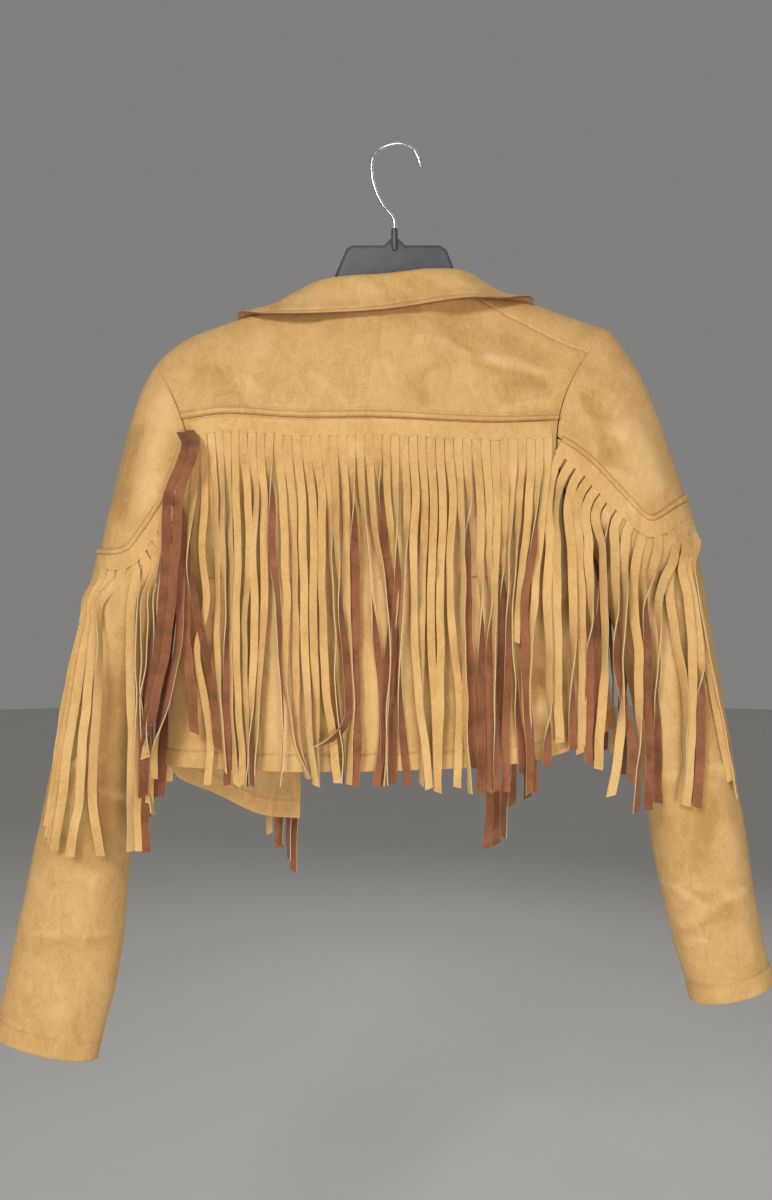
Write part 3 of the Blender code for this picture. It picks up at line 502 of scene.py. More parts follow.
BACK_HANG = (
    (747, 10, (194, 190, 197, 206, 215, 220), (20, 86, 160, 172, 176, 178)),
    (784,  5, (205, 203, 207, 198, 206, 211, 208), (0, 5, 12, 15, 0, 10, 5)),
    (770,  4, (217, 218, 219, 218, 221, 225, 226), (55, 50, 45, 30, 55, 60, 60)),
    (784,  6, (224, 224, 227, 228, 228, 229, 228), (50, 40, 75, 130, 165, 176, 178)),
    (784,  3, (230, 232, 231, 232, 232, 235, 238), (28, 40, 45, 60, 50, 55, 20)),
    (783,  7, (238, 239, 238, 238, 240, 243, 243), (0, 5, 0, 10, 10, 20, 8)),
    (784,  4, (249, 250, 247, 246, 246, 249, 250), (5, 20, 35, 40, 50, 75, 130)),
    (783,  6, (258, 254, 256, 255, 253, 253, 254), (50, 20, 0, 5, 40, 130, 118)),
    (784,  4, (265, 265, 265, 263, 259, 258, 256), (5, 0, 0, 28, 55, 80, 84)),
    (784,  8, (274, 274, 279, 281, 284, 285, 282), (125, 172, 128, 108, 96, 86, 84)),
    (775,  6, (284, 286, 288, 286, 289, 299, 309), (0, 8, 0, 30, 68, 76, 55)),
    (776,  3, (293, 295, 296, 297, 297, 301, 310), (0, 30, 38, 25, 20, 50, 60)),
    (783,  6, (303, 304, 305, 306, 309, 313, 317), (0, 0, 5, 0, 30, 45, 35)),
    (782,  4, (313, 315, 314, 315, 317, 317, 318), (0, 0, 5, 0, 25, 40, 50)),
    (780,  7, (323, 323, 323, 325, 329, 335, 338), (5, 20, 25, 10, 5, 0, 0)),
    (781,  4, (331, 331, 334, 336, 338, 343, 344), (15, 60, 80, 88, 96, 100, 110)),
    (762,  9, (337, 338, 341, 346, 349, 350, 350), (44, 50, 110, 165, 150, 120, 80)),
    (782,  5, (346, 347, 347, 351, 353, 351, 350), (0, 5, 5, 62, 70, 60, 40)),
    (784,  7, (354, 356, 356, 356, 357, 358, 356), (86, 170, 178, 184, 178, 180, 196)),
    (783,  6, (363, 368, 372, 378, 383, 381, 376), (50, 82, 96, 160, 172, 168, 176)),
    (780,  9, (373, 378, 386, 391, 388, 387, 388), (28, 58, 82, 95, 96, 95, 100)),
    (783,  5, (382, 385, 391, 389, 385, 383, 383), (140, 170, 165, 168, 172, 150, 150)),
    (782,  3, (388, 392, 396, 396, 393, 393, 393), (35, 20, 70, 150, 178, 175, 180)),
    (783,  7, (396, 397, 396, 392, 389, 386, 384), (52, 105, 160, 105, 96, 92, 100)),
    (783,  5, (407, 405, 403, 400, 400, 404, 408), (0, 70, 84, 88, 120, 174, 180)),
    (785,  8, (415, 413, 414, 415, 418, 426, 428), (5, 10, 42, 5, 10, 15, 5)),
    (782,  4, (424, 423, 421, 421, 420, 421, 421), (0, 0, 20, 22, 60, 78, 60)),
    (789,  7, (433, 432, 430, 431, 434, 436, 437), (0, 5, 0, 5, 0, 0, 10)),
    (786,  4, (442, 441, 439, 440, 439, 438, 437), (0, 0, 0, 0, 20, 20, 20)),
    (785,  6, (452, 450, 449, 453, 458, 458, 456), (18, 30, 34, -28, -10, 0, 0)),
    (790,  8, (460, 461, 462, 462, 464, 465, 469), (38, 62, 50, 76, 55, 78, 72)),
    (766,  5, (468, 466, 467, 468, 471, 471, 471), (60, 138, 160, 175, 180, 175, 178)),
    (790,  7, (479, 479, 480, 480, 480, 480, 479), (0, 20, 84, 150, 175, 178, 180)),
    (790,  5, (488, 487, 490, 488, 488, 489, 488), (12, 50, 86, 160, 178, 174, 180)),
    (787,  8, (496, 494, 493, 492, 492, 495, 496), (0, 28, 40, 76, 88, 150, 155)),
    (788,  4, (504, 501, 502, 501, 497, 496, 494), (15, 28, 150, 175, 170, 170, 175)),
    (790,  6, (510, 507, 506, 507, 505, 505, 505), (40, 84, 96, 150, 175, 176, 180)),
    (772,  3, (518, 515, 511, 512, 516, 520, 521), (20, 82, 88, 95, 120, 160, 170)),
    (642,  5, (528, 523, 518, 514), (0, 25, 40, 10)),
    (790, 10, (535, 531, 523, 523, 523, 527, 527), (58, 160, 184, 176, 140, 165, 150)),
    (790,  7, (543, 537, 533, 529, 528, 531, 533), (8, 5, 15, 82, 96, 120, 165)),
)
CURLED_STRAND = 16      # its end sweeps round to the left, up and back
CURL_FROM = 0.84
CURL_REACH = 30.0
CURL_BACK = 5.0
PRESS_HEIGHT = -439.0   # a fold pressed across some strands of the back
PRESSED_STRANDS = range(8, 17)
PRESS_DEEP, PRESS_REACH = 2.6, 6.0

# The same for the strands of the sleeves, from the back of the armhole outwards.
LEFT_SLEEVE_HANG = (
    (755, 14, (183, 180, 176, 170, 159, 151, 150), (176, 178, 184, 176, 180, 355, 360)),
    (793, 12, (172, 170, 167, 162, 154, 150, 147), (176, 180, 176, 184, 176, 176, 178)),
    (732,  7, (180, 188, 187, 189, 194, 196), (176, 176, 172, 176, 180, 180)),
    (776,  9, (176, 181, 183, 180, 170, 158, 156), (170, 172, 160, 140, 134, 60, 20)),
    (801,  7, (164, 162, 160, 157, 152, 152, 152), (80, 100, 110, 120, 100, 60, 10)),
    (850,  6, (158, 159, 157, 154, 148, 146, 147, 149), (50, 60, 75, 130, 140, 170, 176, 178)),
    (812,  5, (155, 155, 152, 149, 144, 146, 155), (40, 50, 76, 110, 100, 90, 70)),
    (792,  4, (150, 150, 147, 145, 143, 143, 143), (20, 30, 50, 80, 110, 160, 172)),
    (849,  4, (142, 142, 141, 140, 140, 140, 141, 141), (10, 15, 84, 86, 86, 60, 30, 10)),
    (848,  6, (131, 131, 133, 133, 134, 135, 134, 134), (0, 5, 20, 30, 30, 30, 45, 50)),
    (857,  4, (115, 115, 104, 103, 100, 96, 93, 99), (0, 5, 45, 70, 40, 40, 5, 5)),
    (856,  4, (104, 104, 100, 94, 89, 84, 80, 70), (0, 5, 20, 10, 5, 5, 5, 5)),
    (850,  4, (98, 98, 95, 85, 77, 68, 63, 54), (0, 10, 25, 20, 20, 10, 25, 30)),
    (845,  4, (92, 92, 90, 79, 71, 64, 56, 51), (0, 10, 15, 10, 10, 10, 10, 10)),
    (838,  3, (89, 89, 87, 77, 67, 60, 52, 47), (0, 5, 10, 15, 20, 15, 10, 10)),
    (826,  3, (88, 88, 86, 75, 65, 57, 50, 46), (0, 5, 10, 12, 15, 10, 10, 10)),
)
RIGHT_SLEEVE_HANG = (
    (764,  9, (548, 548, 546, 547, 547, 545, 545), (30, 0, 15, 58, 60, 165, 176)),
    (741,  9, (556, 555, 555, 556, 556, 558), (58, 38, 10, 12, 5, 5)),
    (748,  8, (569, 570, 571, 571, 570, 571), (0, 5, 28, 75, 130, 172)),
    (752,  6, (579, 578, 579, 581, 581, 578), (0, 10, 10, 20, 30, 40)),
    (762,  8, (588, 587, 588, 588, 587, 586), (0, 5, 58, 150, 176, 178)),
    (767, 10, (598, 600, 600, 602, 599, 596, 595), (10, 55, 48, 60, 20, 5, 5)),
    (760,  5, (606, 606, 599, 593, 592, 589, 588), (120, 160, 150, 165, 160, 170, 176)),
    (781,  9, (614, 614, 612, 613, 620, 629, 629), (10, 8, 60, 150, 165, 175, 178)),
    (793, 10, (625, 624, 621, 619, 618, 615, 608), (10, 20, 80, 88, 78, 5, 0)),
    (810,  6, (638, 635, 631, 636, 636, 636, 634), (0, 0, 28, 20, 30, 110, 150)),
    (808,  7, (646, 646, 643, 645, 645, 647, 646), (0, 10, 110, 175, 178, 170, 175)),
    (806,  5, (659, 659, 656, 657, 657, 660, 662), (0, 0, 50, 100, 130, 165, 175)),
    (804,  3, (671, 671, 668, 676, 683, 683, 681), (0, 0, 10, 40, 60, 78, 60)),
    (805,  6, (680, 680, 686, 689, 690, 688, 685), (0, 0, 5, 0, 0, 0, 5)),
    (807,  5, (685, 686, 692, 698, 699, 698, 696), (0, 0, 10, 20, 165, 178, 178)),
    (797,  3, (690, 692, 699, 709, 719, 731, 739), (0, 60, 100, 105, 108, 110, 110)),
    (782,  2, (686, 690, 697, 706, 716, 727, 733), (0, 10, 20, 30, 30, 20, 10)),
)

# How long the strands of the fronts are cut, evenly spaced along their strips.
LEFT_CUTS = (284, 276, 270, 278, 322, 340, 330, 352)
RIGHT_CUTS = (325, 342, 336, 318, 306, 300, 290, 268)
# The end of the left sleeve's strip is turned over with its first strands: where their tops are,
# and how much further back.
TURNED_TOPS = ((190, 431), (182, 433))
TURNED_BACK = 5.0
# How far the back end of a sleeve's strip is moved in x and z, and over which share of the strip.
LEFT_NUDGE = (7.0, 38.0, 0.10)
RIGHT_NUDGE = (-7.0, 3.0, 0.12)
# How narrow its header is there, and over which share it widens.
LEFT_TAPER, RIGHT_TAPER = (0.2, 0.3), (0.8, 0.1)
FOLDED = 175            # a strand charted as turned this far at its top has its header folded over
CHART_START = 22.0      # charted places nearer than this below a root are left out
CHART_END = 9           # and so are lines nearer than this above a tip


# ---------------- settings a user would change

def linear(code):
    """A hex sRGB colour as linear red, green and blue."""
    channels = [int(code[i:i + 2], 16) / 255 for i in (1, 3, 5)]
    return tuple(c / 12.92 if c <= 0.04045 else ((c + 0.055) / 1.055) ** 2.4 for c in channels)


def colour_property(name, code, description):
    return FloatVectorProperty(name=name, description=description, subtype='COLOR', size=3,
                               min=0.0, max=1.0, default=linear(code))


class JacketClothSettings(bpy.types.PropertyGroup):
    wall: FloatProperty(name="Cloth", description="Thickness of the bonded suede cloth",
                        default=1.2 * MM, min=0.0005, max=0.003, unit='LENGTH')
    step: FloatProperty(name="Grid", description="Size of the cloth's mesh faces",
                        default=3.2 * MM, min=0.002, max=0.01, unit='LENGTH')
    face: colour_property("Face", "#CDA266", "Colour of the brushed face")
    # Crease troughs and the hem's stitching groove are painted towards the dark face colour: painted shade.
    face_dark: colour_property("Face, dark", "#B68A50", "Where the nap lies away from the light")
    face_light: colour_property("Face, light", "#DDB67C", "Where the nap is rubbed")
    backing: colour_property("Backing", "#8C583A", "Colour of the knitted backing")
    edge: colour_property("Cut edge", "#DDBB84", "Colour of the raw cut edge")


class JacketFringeSettings(bpy.types.PropertyGroup):
    fill: FloatProperty(name="Fill", description="Strand width as a share of the pitch",
                        default=0.93, min=0.5, max=1.0)
    wall: FloatProperty(name="Strand", description="Thickness of a strand",
                        default=1.0 * MM, min=0.0005, max=0.002, unit='LENGTH')
    cup: FloatProperty(name="Cup", description="How far a strand's middle stands above its edges",
                       default=0.45 * MM, min=0.0, max=0.002, unit='LENGTH')
    segments: IntProperty(name="Segments", description="Segments along a strand",
                          default=34, min=8, max=80)


class JacketStitchSettings(bpy.types.PropertyGroup):
    pitch: FloatProperty(name="Pitch", description="Distance from stitch to stitch",
                         default=3.3 * MM, min=0.001, max=0.01, unit='LENGTH')
    length: FloatProperty(name="Length", description="Length of one stitch",
                          default=2.5 * MM, min=0.001, max=0.01, unit='LENGTH')
    thread: FloatProperty(name="Thread", description="Diameter of the thread",
                          default=0.55 * MM, min=0.0002, max=0.002, unit='LENGTH')
    colour: colour_property("Thread colour", "#B98A4B", "Colour of the spun polyester thread")


class JacketHangerSettings(bpy.types.PropertyGroup):
    wire: FloatProperty(name="Wire", description="Diameter of the hook's wire",
                        default=3.0 * MM, min=0.002, max=0.006, unit='LENGTH')
    thick: FloatProperty(name="Moulding", description="Thickness of the moulded body",
                         default=5.0 * MM, min=0.003, max=0.012, unit='LENGTH')
    rim: FloatProperty(name="Rim", description="Width of the moulding's rim",
                       default=2.2 * MM, min=0.001, max=0.006, unit='LENGTH')
    plastic: colour_property("Plastic", "#424548", "Colour of the moulded polystyrene")
    steel: colour_property("Steel", "#D9DADC", "Colour of the plated wire")


class JacketStageSettings(bpy.types.PropertyGroup):
    key: FloatProperty(name="Key light", description="Power of the key light, at the left",
                       default=29.5, min=0.0, max=500.0, unit='POWER')
    low: FloatProperty(name="Low light", description="Power of the light on the sleeves and hem",
                       default=18.5, min=0.0, max=500.0, unit='POWER')
    fill: FloatProperty(name="Far light", description="Power of the light on the fronts",
                        default=14.0, min=0.0, max=500.0, unit='POWER')
    sky: FloatProperty(name="Surround", description="Strength of the pale surround",
                       default=0.24, min=0.0, max=5.0)
    floor: colour_property("Floor", "#DAD8D4", "Colour of the floor")


# ---------------- materials

FRINGE_PAINTED_LIGHT = 1.07      # the strands' face is painted this much lighter: painted light, as the strands catch a little more light


def fill(tree, node, inputs):
    """Give a node's inputs their values, or link them to a socket or to a node's first output."""
    for name, value in inputs.items():
        if isinstance(value, bpy.types.Node):
            value = value.outputs[0]
        if isinstance(value, bpy.types.NodeSocket):
            tree.links.new(value, node.inputs[name])
        else:
            node.inputs[name].default_value = value


def add(tree, kind, inputs=None, stops=(), **settings):
    """A node with its settings and inputs, and the (place, colour) stops of a colour ramp."""
    node = tree.nodes.new(kind)
    for name, value in settings.items():
        setattr(node, name, value)
    fill(tree, node, inputs or {})
    for _ in stops[2:]:
        node.color_ramp.elements.new(0.5)
    for index, (place, colour) in enumerate(stops):
        element = node.color_ramp.elements[index]
        element.position = place
        element.color = (*colour, 1.0)
    return node


def patches(where, across, detail=3.0, roughness=0.55, distortion=0.0):
    """The inputs of a noise whose patches are this many millimetres across."""
    return {"Vector": where, "Scale": 1000.0 / across, "Detail": detail,
            "Roughness": roughness, "Distortion": distortion}


def weighed(tree, *terms):
    """The sum of some patterns, each times a share."""
    total = 0.0
    for pattern, share in terms:
        total = add(tree, 'ShaderNodeMath', {0: pattern, 1: share, 2: total}, operation='MULTIPLY_ADD')
    return total


def shades(base, *stops):
    """Stops of a colour ramp, each at its place with the base colour times a share."""
    return [(place, tuple(min(c * share, 1.0) for c in base)) for place, share in stops]


def new_material(name, roughness, **inputs):
    """A material, its tree, its Principled shader with values that are the same all over, and the
    coordinates that its patterns are drawn on."""
    made = bpy.data.materials.new(name)
    made.use_nodes = True
    tree = made.node_tree
    shader = tree.nodes["Principled BSDF"]
    fill(tree, shader, {"Roughness": roughness,
                        **{key.replace("_", " "): value for key, value in inputs.items()}})
    return made, tree, shader, add(tree, 'ShaderNodeTexCoord').outputs["Object"]


def brushed_suede(name, dark, face, light):
    """Warp-knit polyester bonded to a backing and brushed: a short nap that lies in patches, so the face
    clouds a little from dark to light over a few centimetres, with a soft sheen and no gloss. Pressed folds
    show lighter on their ridges, where the nap is rubbed, and darker in their troughs and in the hem's
    stitching groove, which is painted shade."""
    made, tree, shader, where = new_material(
        name, 0.9, Sheen_Weight=0.18, Sheen_Roughness=0.5, Specular_IOR_Level=0.18,
        Sheen_Tint=(*linear("#F0DAB2"), 1.0))
    drawn = add(tree, 'ShaderNodeMapping', {"Vector": where, "Scale": (1.0, 1.0, 0.5)})
    clouds = add(tree, 'ShaderNodeTexNoise', patches(where, 46, 3.0, 0.5, 0.6))
    streaks = add(tree, 'ShaderNodeTexNoise', patches(drawn, 12, 4.0, 0.6, 1.4))
    nap = add(tree, 'ShaderNodeTexNoise', patches(where, 1.4, 2.0))
    # The press attribute lightens crease ridges, as rubbed nap, and darkens crease troughs and the hem's
    # stitching groove, as painted shade.
    press = add(tree, 'ShaderNodeAttribute', attribute_name="press").outputs["Fac"]
    strip = add(tree, 'ShaderNodeAttribute', attribute_name="strip").outputs["Fac"]
    tone = weighed(tree, (clouds, 0.36), (streaks, 0.42), (nap, 0.40), (press, 0.17), (strip, 0.05))
    colour = add(tree, 'ShaderNodeValToRGB', {"Fac": tone}, ((0.37, dark), (0.59, face), (0.82, light)))
    # The nap is about 0.3 mm long; it is drawn at 0.7 mm, the finest that shows.
    fuzz = add(tree, 'ShaderNodeTexNoise', patches(where, 0.7))
    tufts = add(tree, 'ShaderNodeTexNoise', patches(where, 6.0, 4.0))
    relief = weighed(tree, (fuzz, 0.6), (tufts, 1.3))
    bump = add(tree, 'ShaderNodeBump', {"Strength": 0.30, "Distance": 0.0005, "Height": relief})
    fill(tree, shader, {"Base Color": colour, "Normal": bump})
    return made


def knit_backing(settings):
    """The fleece-backed knit on the cloth's reverse: a flat brown with faint lighter lint."""
    made, tree, shader, where = new_material("brown_knit_backing", 0.93, Sheen_Weight=0.2,
                                             Sheen_Roughness=0.5, Specular_IOR_Level=0.15)
    clouds = add(tree, 'ShaderNodeTexNoise', patches(where, 24, 4.0, 0.6, 0.5))
    lint = add(tree, 'ShaderNodeTexNoise', patches(where, 1.6, 2.0))
    strip = add(tree, 'ShaderNodeAttribute', attribute_name="strip").outputs["Fac"]
    tone = weighed(tree, (clouds, 0.62), (lint, 0.36), (strip, 0.08))
    light = tuple(min(c * 1.36 + 0.01, 1.0) for c in settings.backing)
    stops = (*shades(settings.backing, (0.34, 0.62), (0.5, 1.0)), (0.7, light))
    colour = add(tree, 'ShaderNodeValToRGB', {"Fac": tone}, stops)
    loops = add(tree, 'ShaderNodeTexNoise', patches(where, 0.9))
    bump = add(tree, 'ShaderNodeBump', {"Strength": 0.35, "Distance": 0.0004, "Height": loops})
    fill(tree, shader, {"Base Color": colour, "Normal": bump})
    return made


def cut_edge(settings):
    """Raw knife-cut edge: the pale unbrushed fibre between face and backing."""
    made, tree, shader, where = new_material("pale_cut_edge", 0.95, Specular_IOR_Level=0.1)
    fibre = add(tree, 'ShaderNodeTexNoise', patches(where, 2.0))
    colour = add(tree, 'ShaderNodeValToRGB', {"Fac": fibre},
                 shades(settings.edge, (0.3, 0.74), (0.65, 1.0)))
    fill(tree, shader, {"Base Color": colour})
    return made


def spun_thread(settings):
    """Spun polyester sewing thread, twisted and matt, a shade darker than the cloth."""
    made, tree, shader, where = new_material("spun_polyester_thread", 0.7, Sheen_Weight=0.2)
    ply = add(tree, 'ShaderNodeTexNoise', patches(where, 3.0))
    colour = add(tree, 'ShaderNodeValToRGB', {"Fac": ply},
                 shades(settings.colour, (0.35, 0.8), (0.65, 1.15)))
    fill(tree, shader, {"Base Color": colour})
    return made


def moulded_plastic(settings):
    """Injection-moulded polystyrene: a charcoal black with a satin skin, dulled in patches by
    handling and finely scuffed."""
    made, tree, shader, where = new_material("black_moulded_polystyrene", 0.42, IOR=1.59)
    haze = add(tree, 'ShaderNodeTexNoise', patches(where, 30, 4.0, 0.6))
    colour = add(tree, 'ShaderNodeValToRGB', {"Fac": haze},
                 shades(settings.plastic, (0.35, 0.75), (0.65, 1.3)))
    scuffs = add(tree, 'ShaderNodeTexNoise', patches(where, 2.5, 6.0, 0.7))
    worn = add(tree, 'ShaderNodeMapRange', {"Value": scuffs, "To Min": 0.34, "To Max": 0.56})
    bump = add(tree, 'ShaderNodeBump', {"Strength": 0.12, "Distance": 0.0002, "Height": scuffs})
    fill(tree, shader, {"Base Color": colour, "Roughness": worn, "Normal": bump})
    return made


def plated_steel(settings):
    """Drawn steel wire with a bright zinc plate: mirror-like, with a few dull spots."""
    made, tree, shader, where = new_material("plated_steel_wire", 0.2, Metallic=1.0,
                                             Base_Color=(*settings.steel, 1.0))
    spots = add(tree, 'ShaderNodeTexNoise', patches(where, 1.8, 4.0))
    dull = add(tree, 'ShaderNodeMapRange', {"Value": spots, "From Min": 0.4, "From Max": 0.75,
                                            "To Min": 0.16, "To Max": 0.42})
    fill(tree, shader, {"Roughness": dull})
    return made


LOOKS = {}


def make_looks(scene):
    """The materials of the whole object, by what they are used on."""
    cloth = scene.jacket_cloth
    naps = [tuple(c) for c in (cloth.face_dark, cloth.face, cloth.face_light)]
    LOOKS["suede"] = brushed_suede("brushed_faux_suede", *naps)
    # The strands' suede is a lighter copy of the cloth's: painted light.
    lit = [tuple(min(c * FRINGE_PAINTED_LIGHT, 1.0) for c in nap) for nap in naps]
    LOOKS["strand"] = brushed_suede("brushed_faux_suede_cut_in_strands", *lit)
    LOOKS["backing"] = knit_backing(cloth)
    LOOKS["edge"] = cut_edge(cloth)
    LOOKS["thread"] = spun_thread(scene.jacket_stitches)
    LOOKS["plastic"] = moulded_plastic(scene.jacket_hanger)
    LOOKS["steel"] = plated_steel(scene.jacket_hanger)


# ---------------- making meshes

SEAM_ROLL = 0.9         # how far the cloth dips into a seam
SEAM_REACH = 1.7
PUCKER = 0.22           # and how it puckers beside the seam
PUCKER_REACH = 7.0
SETTLE_REACH = 12.0     # from a border to where the cloth is free to settle
HEM_DEEP = 14.6         # from a hem's edge to its stitching
CUFF_DEEP = 17.0
COLLAR_DEEP = 5.6
HEM_RISE = 0.5          # how much thicker the turned hem is
GROOVE = 0.75           # how far the stitching sinks in it
GROOVE_REACH = 1.3
FULL_PRESS = 1.6        # a crease this high is as light on its ridge, or as dark with painted shade in its trough, as a fold gets
EDGE_STEPS = (0.0, 0.8, 1.8, 3.2)       # rows by the edges
HEM_STEPS = (-4.5, -3.0, -1.8, -0.9, 0.0, 0.9, 1.8, 3.0, 4.5)       # and about a hem's stitching
HEM_CLEAR = 5.5         # no other row is this near to it


def fine(length, step, hem=None):
    """Places from 0 to 1 along a length in millimetres, closer near both ends and near a hem's
    stitching."""
    ends = EDGE_STEPS[-1]
    inner = max(int((length - 2 * ends) / step), 2)
    near = list(EDGE_STEPS[:-1])
    middle = [ends + (length - 2 * ends) * i / inner for i in range(inner + 1)]
    if hem:
        middle = [d for d in middle if abs(length - hem - d) > HEM_CLEAR or length - d <= ends]
        middle += [length - hem + d for d in HEM_STEPS if hem - d > ends]
    far = [length - d for d in near]
    return [d / length for d in sorted(near + middle + far)]


def shares(count):
    """Places from 0 to 1 in even steps."""
    return [i / count for i in range(count + 1)]


def angles(first, last, step):
    """Angles in even steps about this large."""
    count = max(round((last - first) / step), 1)
    return [first + (last - first) * i / count for i in range(count + 1)]


# A sleeve's columns: none is close beside the cap's two ends, where its upper edge turns sharply.
SLEEVE_COLUMNS = angles(-180, -91.2, 3) + angles(-90, 90, 2.5) + angles(91.2, 180, 3)


def points_of(surface, columns, rows):
    return np.array([[surface(u, v)[:] for u in columns] for v in rows])


def normals_of(points, closed, side):
    """Unit normals of a grid of points; side is 1 or -1 to turn them outwards."""
    padded = np.concatenate((points[:, -2:-1], points, points[:, 1:2]), axis=1) if closed else points
    along = np.gradient(padded, axis=1)
    if closed:
        along = along[:, 1:-1]
    normal = np.cross(np.gradient(points, axis=0), along)
    return side * normal / np.maximum(np.linalg.norm(normal, axis=2, keepdims=True), 1e-9)


def eased(value):
    """0 below 0, 1 above 1, and smooth between."""
    value = np.clip(value, 0.0, 1.0)
    return value * value * (3 - 2 * value)


CREASE_SHARE = 1.5      # the creases stand this many times as high as their table says
SOFT_SIDE = 2.2         # and fall away this many times as wide on the right of the way they run


def creased(points, normals, creases):
    """Height of the creases at each point of a grid."""
    height = np.zeros(points.shape[:2])
    for side, x0, z0, x1, z1, bow, high, width in creases:
        run = math.hypot(x1 - x0, z1 - z0)
        ahead = ((x1 - x0) / run, (z1 - z0) / run)
        dx, dz = points[..., 0] - x0, points[..., 2] - z0
        along = np.clip((dx * ahead[0] + dz * ahead[1]) / run, -0.2, 1.2)
        across = dz * ahead[0] - dx * ahead[1] - 4 * bow * along * (1 - along)
        reach = np.where(across > 0, width, SOFT_SIDE * width)
        fade = eased(along / 0.25 + 0.4) * eased((1 - along) / 0.25 + 0.4)
        facing = eased(normals[..., 1] * side * 2.5)
        height += CREASE_SHARE * high * np.exp(-(across / reach) ** 2) * fade * facing
    return height


def settled(points, seed, size=62.0, high=1.4):
    """The slight unevenness of hanging cloth."""
    flat = points.reshape(-1, 3) / size
    drift = Vector((seed * 7.3, seed * 3.1, seed * 1.7))
    values = [noise.noise(Vector(p) + drift) + 0.4 * noise.noise(Vector(p) * 2.7 + drift) for p in flat]
    return high * np.array(values).reshape(points.shape[:2])


def borders(points, closed):
    """Distance from each point to the grid's left, right, top and bottom, along the cloth."""
    across = np.linalg.norm(np.diff(points, axis=1), axis=2)
    down = np.linalg.norm(np.diff(points, axis=0), axis=2)
    zero_column = np.zeros((points.shape[0], 1))
    zero_row = np.zeros((1, points.shape[1]))
    left = np.concatenate((zero_column, np.cumsum(across, axis=1)), axis=1)
    top = np.concatenate((zero_row, np.cumsum(down, axis=0)), axis=0)
    far = np.full(points.shape[:2], 1e6)
    sides = (far, far) if closed else (left, left[:, -1:] - left)
    return (*sides, top, top[-1:] - top)


def placed(name, data):
    """An object in the scene for a mesh, a light or a camera."""
    item = bpy.data.objects.new(name, data)
    bpy.context.scene.collection.objects.link(item)
    return item


def shell(name, points, side, slots, closed, press, wall):
    """A thin shell on a grid of points in millimetres, its faces turned outwards. press is how far a fold
    is pressed at each point; it sets the suede's tone, lighter for rubbed nap on a ridge and darker for
    painted shade in a trough or the hem's stitching groove."""
    rows, columns = points.shape[:2]
    used = columns - 1 if closed else columns
    verts = points[:, :used].reshape(-1, 3) * MM
    faces = []
    for row in range(rows - 1):
        for column in range(columns - 1):
            after = (column + 1) % used
            a, b = row * used + column, row * used + after
            quad = (a, a + used, b + used, b)
            faces.append(quad if side > 0 else quad[::-1])
    data = bpy.data.meshes.new(name)
    data.from_pydata(verts.tolist(), [], faces)
    layer = data.attributes.new("press", 'FLOAT', 'POINT')
    layer.data.foreach_set("value", np.ascontiguousarray(press[:, :used]).ravel())
    for slot in slots:
        data.materials.append(LOOKS[slot])
    data.shade_smooth()
    item = placed(name, data)
    solid = item.modifiers.new("Wall", 'SOLIDIFY')
    solid.thickness = wall * MM
    solid.offset = 0.0
    solid.material_offset = 1
    solid.material_offset_rim = 2
    return item


SURFACES = {}           # its grid of points and normals, and the distances to its borders


def cloth(name, node, surface, columns, rows, side, creases=(), seams="", hem=None, closed=False,
          seed=1, inner="backing", wall=None, rim="suede"):
    """A cloth piece on a surface. seams names the borders that a seam rolls in (left, right, top,
    bottom as l, r, t, b), and hem is how far above the lower border its stitching runs."""
    points = points_of(surface, columns, rows)
    normals = normals_of(points, closed, side)
    away = dict(zip("lrtb", borders(points, closed)))
    pressed = creased(points, normals, creases)
    nearest = np.minimum.reduce(list(away.values()))
    height = pressed + settled(points, seed) * eased(nearest / SETTLE_REACH)
    for border in seams:
        height -= SEAM_ROLL * np.exp(-(away[border] / SEAM_REACH) ** 2)
        waves = np.sin(points[..., 0] * 0.62 + points[..., 2] * 0.5)
        height += PUCKER * waves * np.exp(-away[border] / PUCKER_REACH)
    # The creases' height also sets the colour: ridges lighter as rubbed nap, troughs darker as painted
    # shade.
    press = pressed / FULL_PRESS
    if hem:
        groove = np.exp(-((away["b"] - hem) / GROOVE_REACH) ** 2)
        height += HEM_RISE * (away["b"] < hem) - GROOVE * groove
        # The hem's stitching groove is painted darker: painted shade in the recess.
        press -= 0.5 * groove
    moved = points + normals * height[..., None]
    SURFACES[name] = (moved, normals_of(moved, closed, side), away)
    wall = wall or bpy.context.scene.jacket_cloth.wall / MM
    item = shell(name, moved, side, ("suede", inner, rim), closed, np.clip(press, -1.0, 1.0), wall)
    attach(item, BODY)
    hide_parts(node)
    return item


